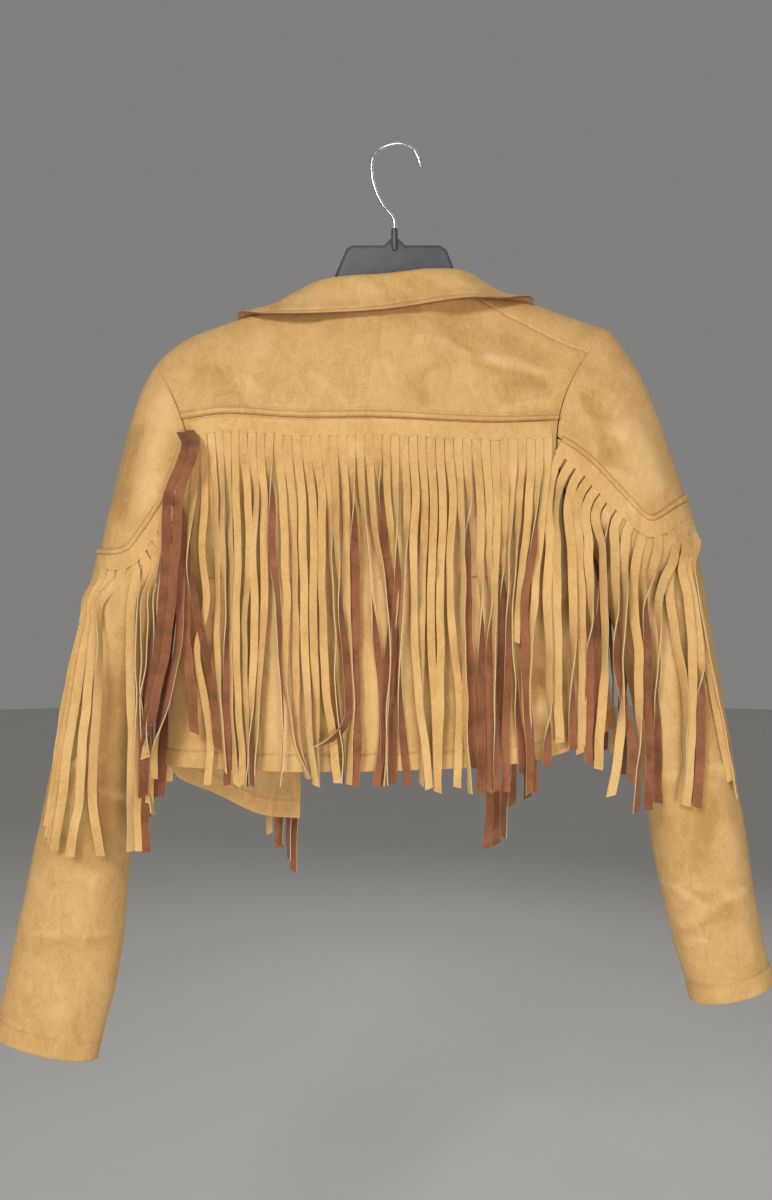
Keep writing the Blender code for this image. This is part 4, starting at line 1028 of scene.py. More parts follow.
class Loft:
    """Closed rings joined into bands, many of them in one mesh."""

    def __init__(self):
        self.verts = []
        self.faces = []
        self.slots = []
        self.tones = []

    def band(self, rings, slots, tone=0.0, turned=False):
        """Rings (count, points, 3) in millimetres; slots gives a material for each ring edge."""
        count, size = rings.shape[:2]
        base = len(self.verts)
        self.verts.extend((rings.reshape(-1, 3) * MM).tolist())
        self.tones.extend([tone] * (count * size))
        for i in range(count - 1):
            for j in range(size):
                k = (j + 1) % size
                here, there = base + i * size, base + (i + 1) * size
                quad = (here + j, there + j, there + k, here + k)
                self.faces.append(quad[::-1] if turned else quad)
                self.slots.append(slots[j])
        # The two ends are closed with quads from the front points to the back ones.
        for start, flip in ((base, turned), (base + (count - 1) * size, not turned)):
            for j in range(size // 2 - 1):
                quad = (start + j, start + j + 1, start + size - 2 - j, start + size - 1 - j)
                self.faces.append(quad[::-1] if flip else quad)
                self.slots.append(slots[-1])

    def piece(self, name, slots, node, slot="suede"):
        """The finished mesh as one piece in place of its node."""
        data = bpy.data.meshes.new(name)
        data.from_pydata(self.verts, [], self.faces)
        data.polygons.foreach_set("material_index", self.slots)
        layer = data.attributes.new("strip", 'FLOAT', 'POINT')
        layer.data.foreach_set("value", self.tones)
        for key in slots:
            data.materials.append(LOOKS[key])
        data.shade_smooth()
        data.set_sharp_from_angle(angle=math.radians(50))
        item = placed(name, data)
        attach(item, BODY)
        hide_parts(node)
        return item


def unit(vectors):
    return vectors / np.maximum(np.linalg.norm(vectors, axis=-1, keepdims=True), 1e-9)


# ---------------- where the fringe hangs

UNEVEN = 11.0           # how much shorter the shortest strands are cut
SLIP = 24.0             # how far the strands on a sleeve's outer line slip to its front
SLIP_REACH = 30.0       # and how far from it (degrees) this fades
OUTER = 0.3             # strands whose way out is this far sideways lie on the sleeve
HANG_DEPTH = -14.0      # how deep (y) the charted strands come to hang, unless something holds them off
LEAST_WIDTH, MOST_WIDTH = 7.2, 9.0      # of a strand where it leaves its header, before its fill
STAND_SHARE = 1.25      # how much of its charted lift a strand comes to stand off
RISE_SHARE = 0.3        # and how much of that it has before it settles
LOOSE_SLOPE = 0.3       # how much of its header's slant a loose strand leaves with
LOOSE_TURNS = (20, -24, 34, -16, 150, -30, 28, 40, -60)
STRAND_TAPER = 0.08     # how much narrower a strand gets
SLANT = 2.2             # how far its cut end slants at most


def level_section(arm, height, count=40):
    """A sleeve's outline at a height: its middle, (direction, radius) all round, and the depth of
    its back and of its front by x."""
    outline = []
    for index in range(count):
        angle = 360 * index / count - 180
        low, high = 0.0, 1.0
        for _ in range(12):
            place = (low + high) / 2
            if arm(angle, place).z > height:
                low = place
            else:
                high = place
        outline.append(arm(angle, high))
    middle = (max(p.x for p in outline) + min(p.x for p in outline)) / 2
    polar = sorted((math.atan2(p.y, p.x - middle), math.hypot(p.x - middle, p.y)) for p in outline)
    wrapped = [(polar[-1][0] - math.tau, polar[-1][1])] + polar + [(polar[0][0] + math.tau, polar[0][1])]
    walls = []
    for sign in (-1, 1):
        half = sorted((p.x, p.y) for p in outline if p.y * sign > -1.0)
        walls.append(tuple(np.array(column) for column in zip(*half)))
    return middle, wrapped, walls


def keeper(arm):
    """A function that moves a point off a sleeve, level with where it is: away from the sleeve's
    middle near the root of a strand (share 0), and straight back or forward from share 1."""
    known = {}

    def pushed_out(point, clear, share):
        level = round(point.z / 3) * 3
        if level not in known:
            known[level] = level_section(arm, level)
        middle, outline, walls = known[level]
        across = point.x - middle
        distance = math.hypot(across, point.y)
        direction = math.atan2(point.y, across)
        index = max(i for i in range(len(outline) - 1) if outline[i][0] <= direction)
        (start, near), (end, far) = outline[index], outline[index + 1]
        radius = near + (far - near) * (direction - start) / (end - start) + clear
        away = Vector(point)
        if distance < radius:
            scale = radius / distance
            away = Vector((middle + across * scale, point.y * scale, point.z))
        if share <= 0:
            return away
        sign = 1 if point.y > 0 else -1
        places, depths = walls[(sign + 1) // 2]
        wall = float(np.interp(point.x, places, depths))
        straight = Vector((point.x, sign * max(point.y * sign, wall * sign + clear), point.z))
        return away.lerp(straight, share)
    return pushed_out


def depth_of(*surfaces):
    """The depth (y) of some panels by x and z, or None past their sides."""
    grids = [points_of(surface, shares(30), shares(60)) for surface in surfaces]
    known = {}

    def at(x, z):
        level = round(z / 4) * 4
        if level not in known:
            across, deep = [], []
            for grid in grids:
                for column in range(grid.shape[1]):
                    heights = grid[::-1, column, 2]
                    across.append(np.interp(level, heights, grid[::-1, column, 0]))
                    deep.append(np.interp(level, heights, grid[::-1, column, 1]))
            order = np.argsort(across)
            known[level] = np.array(across)[order], np.array(deep)[order]
        places, depths = known[level]
        return float(np.interp(x, places, depths)) if places[0] < x < places[-1] else None
    return at


def over_body(depth, side):
    """A function that lifts a point off the back (side 1) or the fronts (side -1)."""
    def settle(point, clear, _share=1.0):
        limit = depth(point.x, point.z)
        if limit is None:
            return point
        deep = min(point.y, limit - clear) if side > 0 else max(point.y, limit + clear)
        return Vector((point.x, deep, point.z))
    return settle


def above_sleeve(arm, angle, place, rise):
    """The point of a sleeve moved out along its normal."""
    outward = math.copysign(rise, arm(0, place).x)
    return raised(lambda u, v: arm(360 * u - 180, v), (angle + 180) / 360, place, outward)


def evenly(line, start, end, steps=180):
    """A function from 0 to 1 to the line's own parameter, even by length."""
    params = [start + (end - start) * i / steps for i in range(steps + 1)]
    points = [line(param) for param in params]
    lengths = np.cumsum([0.0] + [(b - a).length for a, b in zip(points, points[1:])])
    return lambda t: float(np.interp(t, lengths / lengths[-1], params))


class Strip:
    """A strip of fringe sewn in along a seam. seam gives a point of the strip's upper edge and the
    way out from the cloth there, and settle lifts a point off what the strands hang over. taper is
    how narrow the header is at its start, and over which share it widens."""
    steps = 200

    def __init__(self, seam, side, strands, settle, taper=(1.0, 1.0)):
        found = [seam(i / self.steps) for i in range(self.steps + 1)]
        self.points = np.array([point[:] for point, _ in found])
        self.out = unit(np.array([out[:] for _, out in found]))
        self.along = unit(np.gradient(self.points, axis=0))
        down = unit(np.cross(self.out, self.along))
        down = down * np.where(down[:, 2:] > 0, -1.0, 1.0)
        padded = np.pad(down, ((12, 12), (0, 0)), mode="edge")
        self.down = unit(sum(padded[i:i + self.steps + 1] for i in range(25)))
        self.side, self.strands, self.settle, self.taper = side, strands, settle, taper

    def read(self, rows, place):
        """A row of points or directions at a place from 0 to 1 along the strip."""
        at = min(max(place, 0.0), 1.0) * self.steps
        low = min(int(at), self.steps - 1)
        return rows[low] + (rows[low + 1] - rows[low]) * (at - low)

    def header(self, place):
        """How wide the uncut header is here."""
        least, reach = self.taper
        uneven = 1 + 0.05 * math.sin(47 * place) + 0.04 * math.sin(113 * place + 1) + 0.14 * place
        return HEADER * (least + (1 - least) * float(eased(place / reach))) * uneven

    def at(self, place, share):
        """A point of the header, from its seam (share 0) to the line its slits end on (1)."""
        drop = self.header(place) * share
        point = self.read(self.points, place) + self.read(self.down, place) * drop
        return np.array(self.settle(Vector(point), FRINGE_RISE, 0.0)[:]) if drop > 0 else point


def body_strip(surface, depth, side, strip):
    """A strip sewn below the upper edge of a panel."""
    strands, inset, below = strip
    used = 1 - inset[0] - inset[1]

    def seam(place):
        u = inset[0] + used * place
        tall = surface(u, 0).z - surface(u, 1).z
        point = raised(surface, u, below / tall, side * FRINGE_RISE)
        return point, point - surface(u, below / tall)
    return Strip(seam, side, strands, over_body(depth, side))


def sleeve_strip(arm, seam, side, back, front, nudge, taper):
    """A strip sewn in round a sleeve's cross seam. back and front lift a point off the body."""
    end = CAP_END - 0.6
    angle_at = evenly(lambda angle: arm(angle, seam_place(seam, angle)), -end, end)
    pushed_out = keeper(arm)
    move_x, move_z, reach = nudge

    def root(place):
        angle = angle_at(place)
        at = seam_place(seam, angle) + 0.008
        point = above_sleeve(arm, angle, at, FRINGE_RISE)
        fade = max(1 - place / reach, 0.0) ** 1.5
        moved = Vector((move_x * fade, 0.0, move_z * fade))
        return point + moved, point - arm(angle, at)

    def settle(point, clear, share=1.0):
        point = pushed_out(point, clear, share)
        return back(point, clear) if point.y < 0 else front(point, clear)
    made = Strip(root, side, SLEEVE_STRANDS, settle, taper)
    made.angle_at = angle_at
    return made


# ---------------- the fringe's own shapes

HANG_SLOTS = ("strand", "backing", "edge")


def header(loft, strip, wall):
    """The uncut strip that the strands are slit from."""
    count = 3 * strip.strands + 1
    rings = []
    for share in (0.0, 0.5, 1.0):
        line = np.array([strip.at(i / (count - 1), share) for i in range(count)])
        out = np.array([strip.read(strip.out, i / (count - 1)) for i in range(count)]) * wall / 2
        rings.append(np.concatenate((line + out, (line - out)[::-1])))
    slots = [0] * (count - 1) + [2] + [1] * (count - 1) + [2]
    loft.band(np.array(rings), slots, turned=strip.side < 0)


def ripple(s, wild, waves, high):
    """A few slow waves along a strand, none at its root."""
    total = np.zeros(len(s))
    for wave in waves:
        total += wild.uniform(-1, 1) * np.sin(math.tau * wave * s + wild.uniform(0, math.tau))
    return high * total * eased(s * 3.5)


def flowing(at, places, values, slope=0.0):
    """A smooth line through values at rising places, leaving the first with the given slope."""
    places, values = np.array(places, float), np.array(values, float)
    slopes = np.gradient(values, places) if len(places) > 2 else np.zeros(len(places))
    slopes[0] = slope
    slopes[-1] = (values[-1] - values[-2]) / (places[-1] - places[-2])
    index = np.clip(np.searchsorted(places, at) - 1, 0, len(places) - 2)
    wide = places[index + 1] - places[index]
    t = (at - places[index]) / wide
    return (values[index] * (1 + 2 * t) * (1 - t) ** 2 + slopes[index] * wide * t * (1 - t) ** 2
            + values[index + 1] * t ** 2 * (3 - 2 * t) - slopes[index + 1] * wide * t ** 2 * (1 - t))


def charted(row, root):
    """A row of the chart as drops below the root, places across, turns and lift."""
    tip, lift, places, turns = row
    folded = turns[0] > FOLDED
    drops, across, over = [0.0], [root[0]], [turns[0] if folded else 0.0]
    for index, (place, turn) in enumerate(zip(places, turns)):
        last = index == len(places) - 1
        line = tip if last else CHART_FIRST + CHART_STEP * index
        drop = root[2] - (CHART_TOP - CHART * line)
        if last or (drop > CHART_START and tip - line > CHART_END):
            drops.append(drop)
            across.append(CHART_LEFT + CHART * place)
            over.append(turn)
    return drops, across, over, lift


def loose_way(root, cut, lean, wild):
    """How a strand hangs where nothing shows it: mostly flat, some turned over."""
    turn = wild.choice(LOOSE_TURNS)
    middle = wild.uniform(0.35, 0.75)
    across = root[0] + lean * middle ** 1.2 + wild.uniform(-3, 3)
    part = wild.uniform(0.2, 0.8)
    return ([0.0, cut * middle, cut], [root[0], across, root[0] + lean + wild.uniform(-3, 3)],
            [0.0, turn * part, turn], wild.uniform(3, 8))


def strand(strip, place, root, way, sizes, wild, deep):
    """The path of one strand, how its width lies and turns, and that width. way says how it hangs,
    sizes are its fill, wall, cup and segments, and deep is how far a loose one slips in y, or None
    for a charted one."""
    drops, across, over, lift = way
    fill, _, _, segments = sizes
    is_charted, is_folded = deep is None, over[0] != 0
    s = np.linspace(0.0, 1.0, segments + 1)
    fall = s * drops[-1]
    half = 0.5 / strip.strands
    pitch = strip.at(place + half, 1.0) - strip.at(place - half, 1.0)
    width = min(max(float(np.linalg.norm(pitch)), LEAST_WIDTH), MOST_WIDTH) * fill
    if is_folded:
        pitch = np.array((math.copysign(width, pitch[0]), 0.0, 0.0))
    out = strip.read(strip.out, place) * np.array((1.0, 1.0, 0.0))
    out /= max(np.linalg.norm(out), 1e-6)
    lies = abs(out[0]) > OUTER
    down = strip.read(strip.down, place)
    slope = min(max(down[0] / max(-down[2], 0.3), -0.9), 0.9) * (1.0 if is_charted else LOOSE_SLOPE)
    angle = np.radians(flowing(fall, drops, over)) + ripple(s, wild, (1.0, 2.3, 4.1), 0.10)
    stand = lift * eased(s * (20 if is_folded else 3.2)) * STAND_SHARE
    stand = stand + width / 2 * np.abs(np.sin(angle))
    stand += np.abs(ripple(s, wild, (1.4, 3.1), 0.9))
    facing = eased(s * 5)[:, None] if is_charted else np.zeros((segments + 1, 1))
    out = unit(out[None, :] * (1 - facing) + np.array(((0.0, -1.0, 0.0),)) * facing)
    path = np.empty((segments + 1, 3))
    path[:, 0] = flowing(fall, drops, across, slope) + ripple(s, wild, (1.9, 3.4, 6.0), 0.45)
    path[:, 1] = root[1] + (deep or 0.0) * s ** 1.3
    if is_charted:
        behind = eased(s * (14 if is_folded else 4))
        free = HANG_DEPTH if lies else min(root[1], HANG_DEPTH) - stand
        path[:, 1] = root[1] * (1 - behind) + free * behind
    path[:, 2] = root[2] - fall
    hung = np.empty_like(path)
    for index in range(segments + 1):
        clear = FRINGE_RISE + 2.0 * eased(s[index] * 4) + stand[index]
        share = 1.0 if is_folded else float(eased((fall[index] - 8) / 40))
        hung[index] = strip.settle(Vector(path[index]), clear, share)[:]
    ease = eased(s * 9)[:, None]
    centre = (path + out * stand[:, None] * RISE_SHARE) * (1 - ease) + hung * ease
    centre[0] = root
    return centre, unit(pitch), out, angle, width


def ribbon(loft, path, side, wall, cup, tone, slant):
    """The strand's faces on its path. Its top lies along the header's slant, and turns level."""
    centre, pitch, out, angle, width = path
    s = np.linspace(0.0, 1.0, len(centre))[:, None]
    ahead = unit(np.gradient(centre, axis=0))
    level = unit(side * np.cross(out, ahead))
    level *= np.sign((level * pitch).sum(axis=1, keepdims=True))
    fade = eased(s * 14)
    level = unit(pitch * (1 - fade) + level * fade)
    face = unit(side * np.cross(ahead, level))
    turn = angle[:, None]
    wide = (np.cos(turn) * level + np.sin(turn) * face) * width / 2
    facing = np.cos(turn) * face - np.sin(turn) * level
    wide = wide * (1.0 - STRAND_TAPER * eased(s * 6))
    front, back = facing * wall / 2, -facing * wall / 2
    crown = facing * cup * eased(s * 5)
    cut = ahead * slant * (s > 0.999)
    rings = np.stack((centre - wide + front - cut, centre + crown + front, centre + wide + front + cut,
                      centre + wide + back + cut, centre + crown + back, centre - wide + back - cut),
                     axis=1)
    loft.band(rings, (0, 0, 2, 1, 1, 2), tone, turned=side < 0)


def fringe(node, strip, cuts, seed, ways=(), lean=None):
    """All the strands of one strip, as one piece in place of its node. Those that ways doesn't
    chart hang loose, with the lengths of cuts and the lean that lean gives by the angle."""
    settings = bpy.context.scene.jacket_fringe
    sizes = (settings.fill, settings.wall / MM, settings.cup / MM, settings.segments)
    wild = random.Random(seed)
    loft = Loft()
    header(loft, strip, sizes[1])
    for index in range(strip.strands):
        place = (index + 0.5) / strip.strands
        root = strip.at(place, 1.0)
        if index < len(ways):
            if ways is LEFT_SLEEVE_HANG and index < len(TURNED_TOPS):
                across, down = TURNED_TOPS[index]
                root = np.array((CHART_LEFT + CHART * across, root[1] - TURNED_BACK,
                                 CHART_TOP - CHART * down))
            way, deep = charted(ways[index], root), None
        else:
            cut = float(np.interp(place, shares(len(cuts) - 1), cuts)) - UNEVEN * math.sin(61 * place) ** 2
            angle = strip.angle_at(place) if lean else 90.0
            way = loose_way(root, cut - HEADER, lean(angle) if lean else 0.0, wild)
            deep = SLIP * math.exp(-(angle / SLIP_REACH) ** 2)
        path = strand(strip, place, root, way, sizes, wild, deep)
        if node == "back_fringe":
            pressed_or_curled(path[0], index)
        ribbon(loft, path, strip.side, *sizes[1:3], wild.uniform(-1.0, 1.0), wild.uniform(-SLANT, SLANT))
    return loft.piece(node + "_strands", HANG_SLOTS, node, "fringe")


def pressed_or_curled(centre, index):
    """The fold pressed across some strands of the back, and the one that curls at its end."""
    if index in PRESSED_STRANDS:
        centre[:, 1] += PRESS_DEEP * np.exp(-((centre[:, 2] - PRESS_HEIGHT) / PRESS_REACH) ** 2)
    if index == CURLED_STRAND:
        s = np.linspace(0.0, 1.0, len(centre))
        end = np.clip((s - CURL_FROM) / (1 - CURL_FROM), 0, 1)
        centre[:, 0] -= CURL_REACH * end ** 1.6
        centre[:, 2] += CURL_REACH * 0.55 * end ** 2.2
        centre[:, 1] -= CURL_BACK * end


def lean_left(angle):
    """How far a strand of the left sleeve leans by its tip: the outer ones follow the sleeve."""
    return -6 - 44 * math.cos(math.radians(angle)) ** 2


def lean_right(angle):
    """The same for the right sleeve, where only the outermost follow it."""
    return 5 + 36 * math.cos(math.radians(angle)) ** 6


# ---------------- welts

WELT_HIGH = 3.4
WELT_ROUND = 0.45       # 1 is a round back, and less is flatter with steeper sides
WELT_SUNK = 0.9         # how far its edges sink into the cloth
WELT_BACK = 1.5
WELT_SIDES = 8


def welt(node, upper, lower, out, side, seed):
    """A rounded ridge between two rows of points, with the way out from the cloth at each."""
    wild = random.Random(seed)
    loft = Loft()
    along = np.cumsum(np.linalg.norm(np.diff(upper, axis=0, prepend=upper[:1]), axis=1))
    pucker = 1 + 0.07 * np.sin(along * 0.55 + wild.uniform(0, 6)) + 0.05 * np.sin(along * 0.21)
    rings = []
    for first, last, way, fat in zip(upper, lower, out, pucker):
        front, back = [], []
        for step in range(WELT_SIDES + 1):
            t = step / WELT_SIDES
            spot = first * (1 - t) + last * t
            bulge = WELT_HIGH * fat * max(math.sin(math.pi * t), 0) ** WELT_ROUND - WELT_SUNK
            front.append(spot + way * bulge)
            back.append(spot - way * WELT_BACK)
        rings.append(np.array(front + back[::-1]))
    slots = [0] * WELT_SIDES + [0] + [1] * WELT_SIDES + [0]
    loft.band(np.array(rings), slots, turned=side > 0)
    return loft.piece(node + "_cloth", ("suede", "backing"), node)


def body_welt(node, surface, side, count, seed):
    """The welt along a panel's lower edge."""
    upper, lower, out = [], [], []
    for u in shares(count):
        u = 0.002 + 0.996 * u
        tall = (surface(u, 1) - surface(u, 0)).length
        rows = [raised(surface, u, v, side * FRINGE_RISE) for v in (1 - WELT_WIDTH / tall, 1.0)]
        upper.append(rows[0][:])
        lower.append(rows[1][:])
        out.append((rows[0] - surface(u, 1 - WELT_WIDTH / tall))[:])
    return welt(node, np.array(upper), np.array(lower), unit(np.array(out)), side, seed)


def sleeve_welt(node, strip, count, seed):
    """The welt along a sleeve's cross seam, above its strip."""
    places = shares(count)
    lower = np.array([strip.read(strip.points, p) for p in places])
    upper = lower - np.array([strip.read(strip.down, p) for p in places]) * WELT_WIDTH
    out = np.array([strip.read(strip.out, p) for p in places])
    return welt(node, upper, lower, unit(out), strip.side, seed)


# ---------------- topstitching

EDGE_ROW = 6.0          # from the fronts' and yokes' edges to their stitching
SEAM_ROW = 7.6          # and from the yokes' lower borders to theirs
SHOULDER_ROW = 3.6
# The rows of topstitching by the piece they are on: the border that each follows, how far inside
# it, and the shares of the border where it starts and ends.
STITCHING = (
    ("back", ("b", HEM_DEEP)),
    ("back_yoke", ("b", SEAM_ROW)),
    ("front_left", ("b", HEM_DEEP), ("r", EDGE_ROW)),
    ("front_right", ("b", HEM_DEEP), ("l", EDGE_ROW)),
    ("front_yoke_left", ("b", SEAM_ROW), ("r", EDGE_ROW, 0.2, 1.0)),
    ("front_yoke_right", ("b", SEAM_ROW), ("t", SHOULDER_ROW), ("l", EDGE_ROW, 0.4, 1.0)),
    ("collar", ("b", COLLAR_DEEP)),
    ("sleeve_left", ("b", CUFF_DEEP)),
    ("sleeve_right", ("b", CUFF_DEEP)),
)


def stitch_line(name, border, inset, start=0.0, end=1.0):
    """Points and normals of a line that runs inset millimetres inside a piece's border."""
    points, normals, away = SURFACES[name]
    far = away[border]
    if border in "lr":
        points, normals, far = points.transpose(1, 0, 2), normals.transpose(1, 0, 2), far.T
    if border in "rb":
        points, normals, far = points[::-1], normals[::-1], far[::-1]
    found = []
    for column in range(points.shape[1]):
        place = float(np.interp(inset, far[:, column], np.arange(len(far))))
        low = min(int(place), len(far) - 2)
        part = place - low
        found.append((points[low, column] * (1 - part) + points[low + 1, column] * part,
                      normals[low, column] * (1 - part) + normals[low + 1, column] * part))
    first, last = int(start * (len(found) - 1)), int(end * (len(found) - 1))
    return found[first:last + 1]


def stitch_tree():
    """A tree that lays stitches end to end along edges, flat on what their normals face."""
    tree = bpy.data.node_groups.new("stitches_along_edges", 'GeometryNodeTree')
    sockets = tree.interface
    sockets.new_socket("Geometry", in_out='INPUT', socket_type='NodeSocketGeometry')
    for name in ("Pitch", "Length", "Thread"):
        made = sockets.new_socket(name, in_out='INPUT', socket_type='NodeSocketFloat')
        made.subtype = 'DISTANCE'
    sockets.new_socket("Material", in_out='INPUT', socket_type='NodeSocketMaterial')
    sockets.new_socket("Geometry", in_out='OUTPUT', socket_type='NodeSocketGeometry')
    given = add(tree, 'NodeGroupInput').outputs
    path = add(tree, 'GeometryNodeMeshToCurve', {"Mesh": given["Geometry"]})
    spots = add(tree, 'GeometryNodeCurveToPoints', {"Curve": path, "Length": given["Pitch"]}, mode='LENGTH')
    facing = add(tree, 'GeometryNodeInputNamedAttribute', {"Name": "facing"}, data_type='FLOAT_VECTOR')
    turn = add(tree, 'FunctionNodeAxesToRotation',
               {"Primary Axis": facing, "Secondary Axis": spots.outputs["Tangent"]},
               primary_axis='Z', secondary_axis='X')
    half = add(tree, 'ShaderNodeMath', {0: given["Length"], 1: 0.5}, operation='MULTIPLY')
    round_half = add(tree, 'ShaderNodeMath', {0: given["Thread"], 1: 0.5}, operation='MULTIPLY')
    size = add(tree, 'ShaderNodeCombineXYZ', {"X": half, "Y": round_half, "Z": round_half})
    bead = add(tree, 'GeometryNodeMeshUVSphere', {"Segments": 8, "Rings": 5, "Radius": 1.0})
    lying = add(tree, 'GeometryNodeTransform', {"Geometry": bead, "Rotation": (0.0, math.radians(90), 0.0)})
    sized = add(tree, 'GeometryNodeTransform', {"Geometry": lying, "Scale": size})
    laid = add(tree, 'GeometryNodeInstanceOnPoints', {"Points": spots, "Instance": sized, "Rotation": turn})
    real = add(tree, 'GeometryNodeRealizeInstances', {"Geometry": laid})
    soft = add(tree, 'GeometryNodeSetShadeSmooth', {"Geometry": real})
    named = add(tree, 'GeometryNodeSetMaterial', {"Geometry": soft, "Material": given["Material"]})
    add(tree, 'NodeGroupOutput', {"Geometry": named})
    return tree


def stitches(name, lines, tree, rise=0.55):
    """One piece with the stitches of several lines."""
    settings = bpy.context.scene.jacket_stitches
    verts, edges, facing = [], [], []
    for line in lines:
        base = len(verts)
        verts.extend(((point + normal * rise) * MM).tolist() for point, normal in line)
        facing.extend(normal.tolist() for _, normal in line)
        edges.extend((base + i, base + i + 1) for i in range(len(line) - 1))
    data = bpy.data.meshes.new(name + "_path")
    data.from_pydata(verts, edges, [])
    layer = data.attributes.new("facing", 'FLOAT_VECTOR', 'POINT')
    layer.data.foreach_set("vector", np.array(facing).ravel())
    path = placed(name + "_path", data)
    nodes = path.modifiers.new("Stitches", 'NODES')
    nodes.node_group = tree
    wanted = {"Pitch": settings.pitch, "Length": settings.length, "Thread": settings.thread,
              "Material": LOOKS["thread"]}
    for socket in tree.interface.items_tree:
        if socket.in_out == 'INPUT' and socket.name in wanted:
            nodes[socket.identifier] = wanted[socket.name]
    return plain_piece(path, name)


def plain_piece(source, name):
    """The evaluated object as a plain mesh that rides on the body."""
    graph = bpy.context.evaluated_depsgraph_get()
    data = bpy.data.meshes.new_from_object(source.evaluated_get(graph))
    data.name = name
    item = placed(name, data)
    bpy.data.objects.remove(source)
    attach(item, BODY)
    return item


# ---------------- the hanger

RECESS = 1.5            # how deep the moulding's face lies inside its rim
SOCKET_RADIUS = 3.1
HOOK_SIDES = 20
HOOK_STEPS = 90
# The hook's rounded free end: how far its first rings lie towards the fifth, and their thickness.
ROUNDED_END = ((0.0, 0.30), (0.08, 0.72), (0.25, 0.93), (0.55, 1.0))


def hanger_outline():
    """The moulding's outline (x, z), once round."""
    left = [*PLATE_LEFT, *ARM_TOP_LEFT]
    right = [*PLATE_RIGHT, *ARM_TOP_RIGHT]
    lower_left = [(x, z - ARM_DEEP) for x, z in reversed(ARM_TOP_LEFT)]
    lower_right = [(x, z - ARM_DEEP) for x, z in ARM_TOP_RIGHT]
    neck = SOCKET_RADIUS * 0.8
    socket = [(SOCKET_X - GUSSET_REACH, PLATE_TOP), (SOCKET_X - neck, GUSSET_TOP),
              (SOCKET_X - neck, SOCKET_TOP - 1), (SOCKET_X + neck, SOCKET_TOP - 1),
              (SOCKET_X + neck, GUSSET_TOP), (SOCKET_X + GUSSET_REACH, PLATE_TOP)]
    return [*reversed(left), *socket, *right, *reversed(lower_right), PLATE_FOOT, *reversed(lower_left)]


def lathe(mesh, profile, centre, sides=28):
    """A turned solid round an upright axis, from (radius, height) rows, added to a bmesh."""
    rings = []
    for radius, height in profile:
        ring = [mesh.verts.new(((centre[0] + radius * math.cos(math.tau * i / sides)) * MM,
                                (centre[1] + radius * math.sin(math.tau * i / sides)) * MM, height * MM))
                for i in range(sides)]
        rings.append(ring)
    for upper, lower in zip(rings, rings[1:]):
        for i in range(sides):
            k = (i + 1) % sides
            mesh.faces.new((upper[i], lower[i], lower[k], upper[k]))
    mesh.faces.new(rings[0])
    mesh.faces.new(rings[-1][::-1])


def hanger_moulding():
    """The flat moulding with its raised rim on both faces, and the round socket for the hook."""
    settings = bpy.context.scene.jacket_hanger
    half = settings.thick / MM / 2
    mesh = bmesh.new()
    rows = [[mesh.verts.new((x * MM, y * MM, z * MM)) for x, z in hanger_outline()] for y in (-half, half)]
    front = mesh.faces.new(rows[0])
    back = mesh.faces.new(rows[1][::-1])
    count = len(rows[0])
    for i in range(count):
        k = (i + 1) % count
        mesh.faces.new((rows[0][i], rows[1][i], rows[1][k], rows[0][k]))
    bmesh.ops.recalc_face_normals(mesh, faces=mesh.faces)
    for face, way in ((front, 1), (back, -1)):
        bmesh.ops.inset_region(mesh, faces=[face], thickness=settings.rim, use_even_offset=True)
        for vert in face.verts:
            vert.co.y += way * RECESS * MM
    top, low = SOCKET_TOP + 0.4, PLATE_TOP - 4.0
    wide = SOCKET_RADIUS
    profile = ((1.7, top), (wide - 0.7, top), (wide, top - 0.8), (wide, GUSSET_TOP),
               (wide + 0.2, PLATE_TOP), (wide - 0.4, low), (1.0, low - 1.0))
    lathe(mesh, profile, (SOCKET_X, 0.0))
    bmesh.ops.recalc_face_normals(mesh, faces=mesh.faces)
    data = bpy.data.meshes.new("hanger_moulding")
    mesh.to_mesh(data)
    mesh.free()
    data.materials.append(LOOKS["plastic"])
    data.shade_smooth()
    data.set_sharp_from_angle(angle=math.radians(28))
    item = placed("hanger_moulding", data)
    soft = item.modifiers.new("Soft edges", 'BEVEL')
    soft.width = 0.4 * MM
    soft.segments = 2
    soft.limit_method = 'ANGLE'
    soft.angle_limit = math.radians(40)
    soft.harden_normals = True
    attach(item, BODY)
    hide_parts("hanger_body")
    return item


def hook_wire():
    """Round wire along the hook's line, its free end rounded off."""
    radius = bpy.context.scene.jacket_hanger.wire / MM / 2
    line = curve([(x, 0, z) for x, z in HOOK_LINE])
    points = np.array([line(t)[:] for t in shares(HOOK_STEPS)])
    ahead = unit(np.gradient(points, axis=0))
    level = np.cross(ahead, np.array((0.0, 1.0, 0.0)))
    rounds = [radius] * len(points)
    for index, (part, share) in enumerate(ROUNDED_END):
        points[index] = points[0] + (points[4] - points[0]) * part
        rounds[index] = radius * share
    rings = []
    for point, way, size in zip(points, level, rounds):
        ring = [point + size * (math.cos(a) * way + math.sin(a) * np.array((0.0, 1.0, 0.0)))
                for a in (math.tau * i / HOOK_SIDES for i in range(HOOK_SIDES))]
        rings.append(ring)
    loft = Loft()
    loft.band(np.array(rings), [0] * HOOK_SIDES)
    return loft.piece("hook_wire", ("steel",), "hanger_hook", "hook")


# ---------------- the stage

FLOOR_HEIGHT = -1.30
LOOK_AT = (0.0, 0.0, -0.42)
CAMERA_PLACE = (-0.0054, -1.05, -0.4086)
# The lights' sizes and places (metres), by the name of their power.
LIGHTS = (
    ("key_light", "key", 0.6, (-0.9, -2.1, 0.6)),
    ("low_light", "low", 0.9, (0.3, -1.9, -0.78)),
    ("back_light", "fill", 1.6, (0.5, 1.9, 0.7)),
)


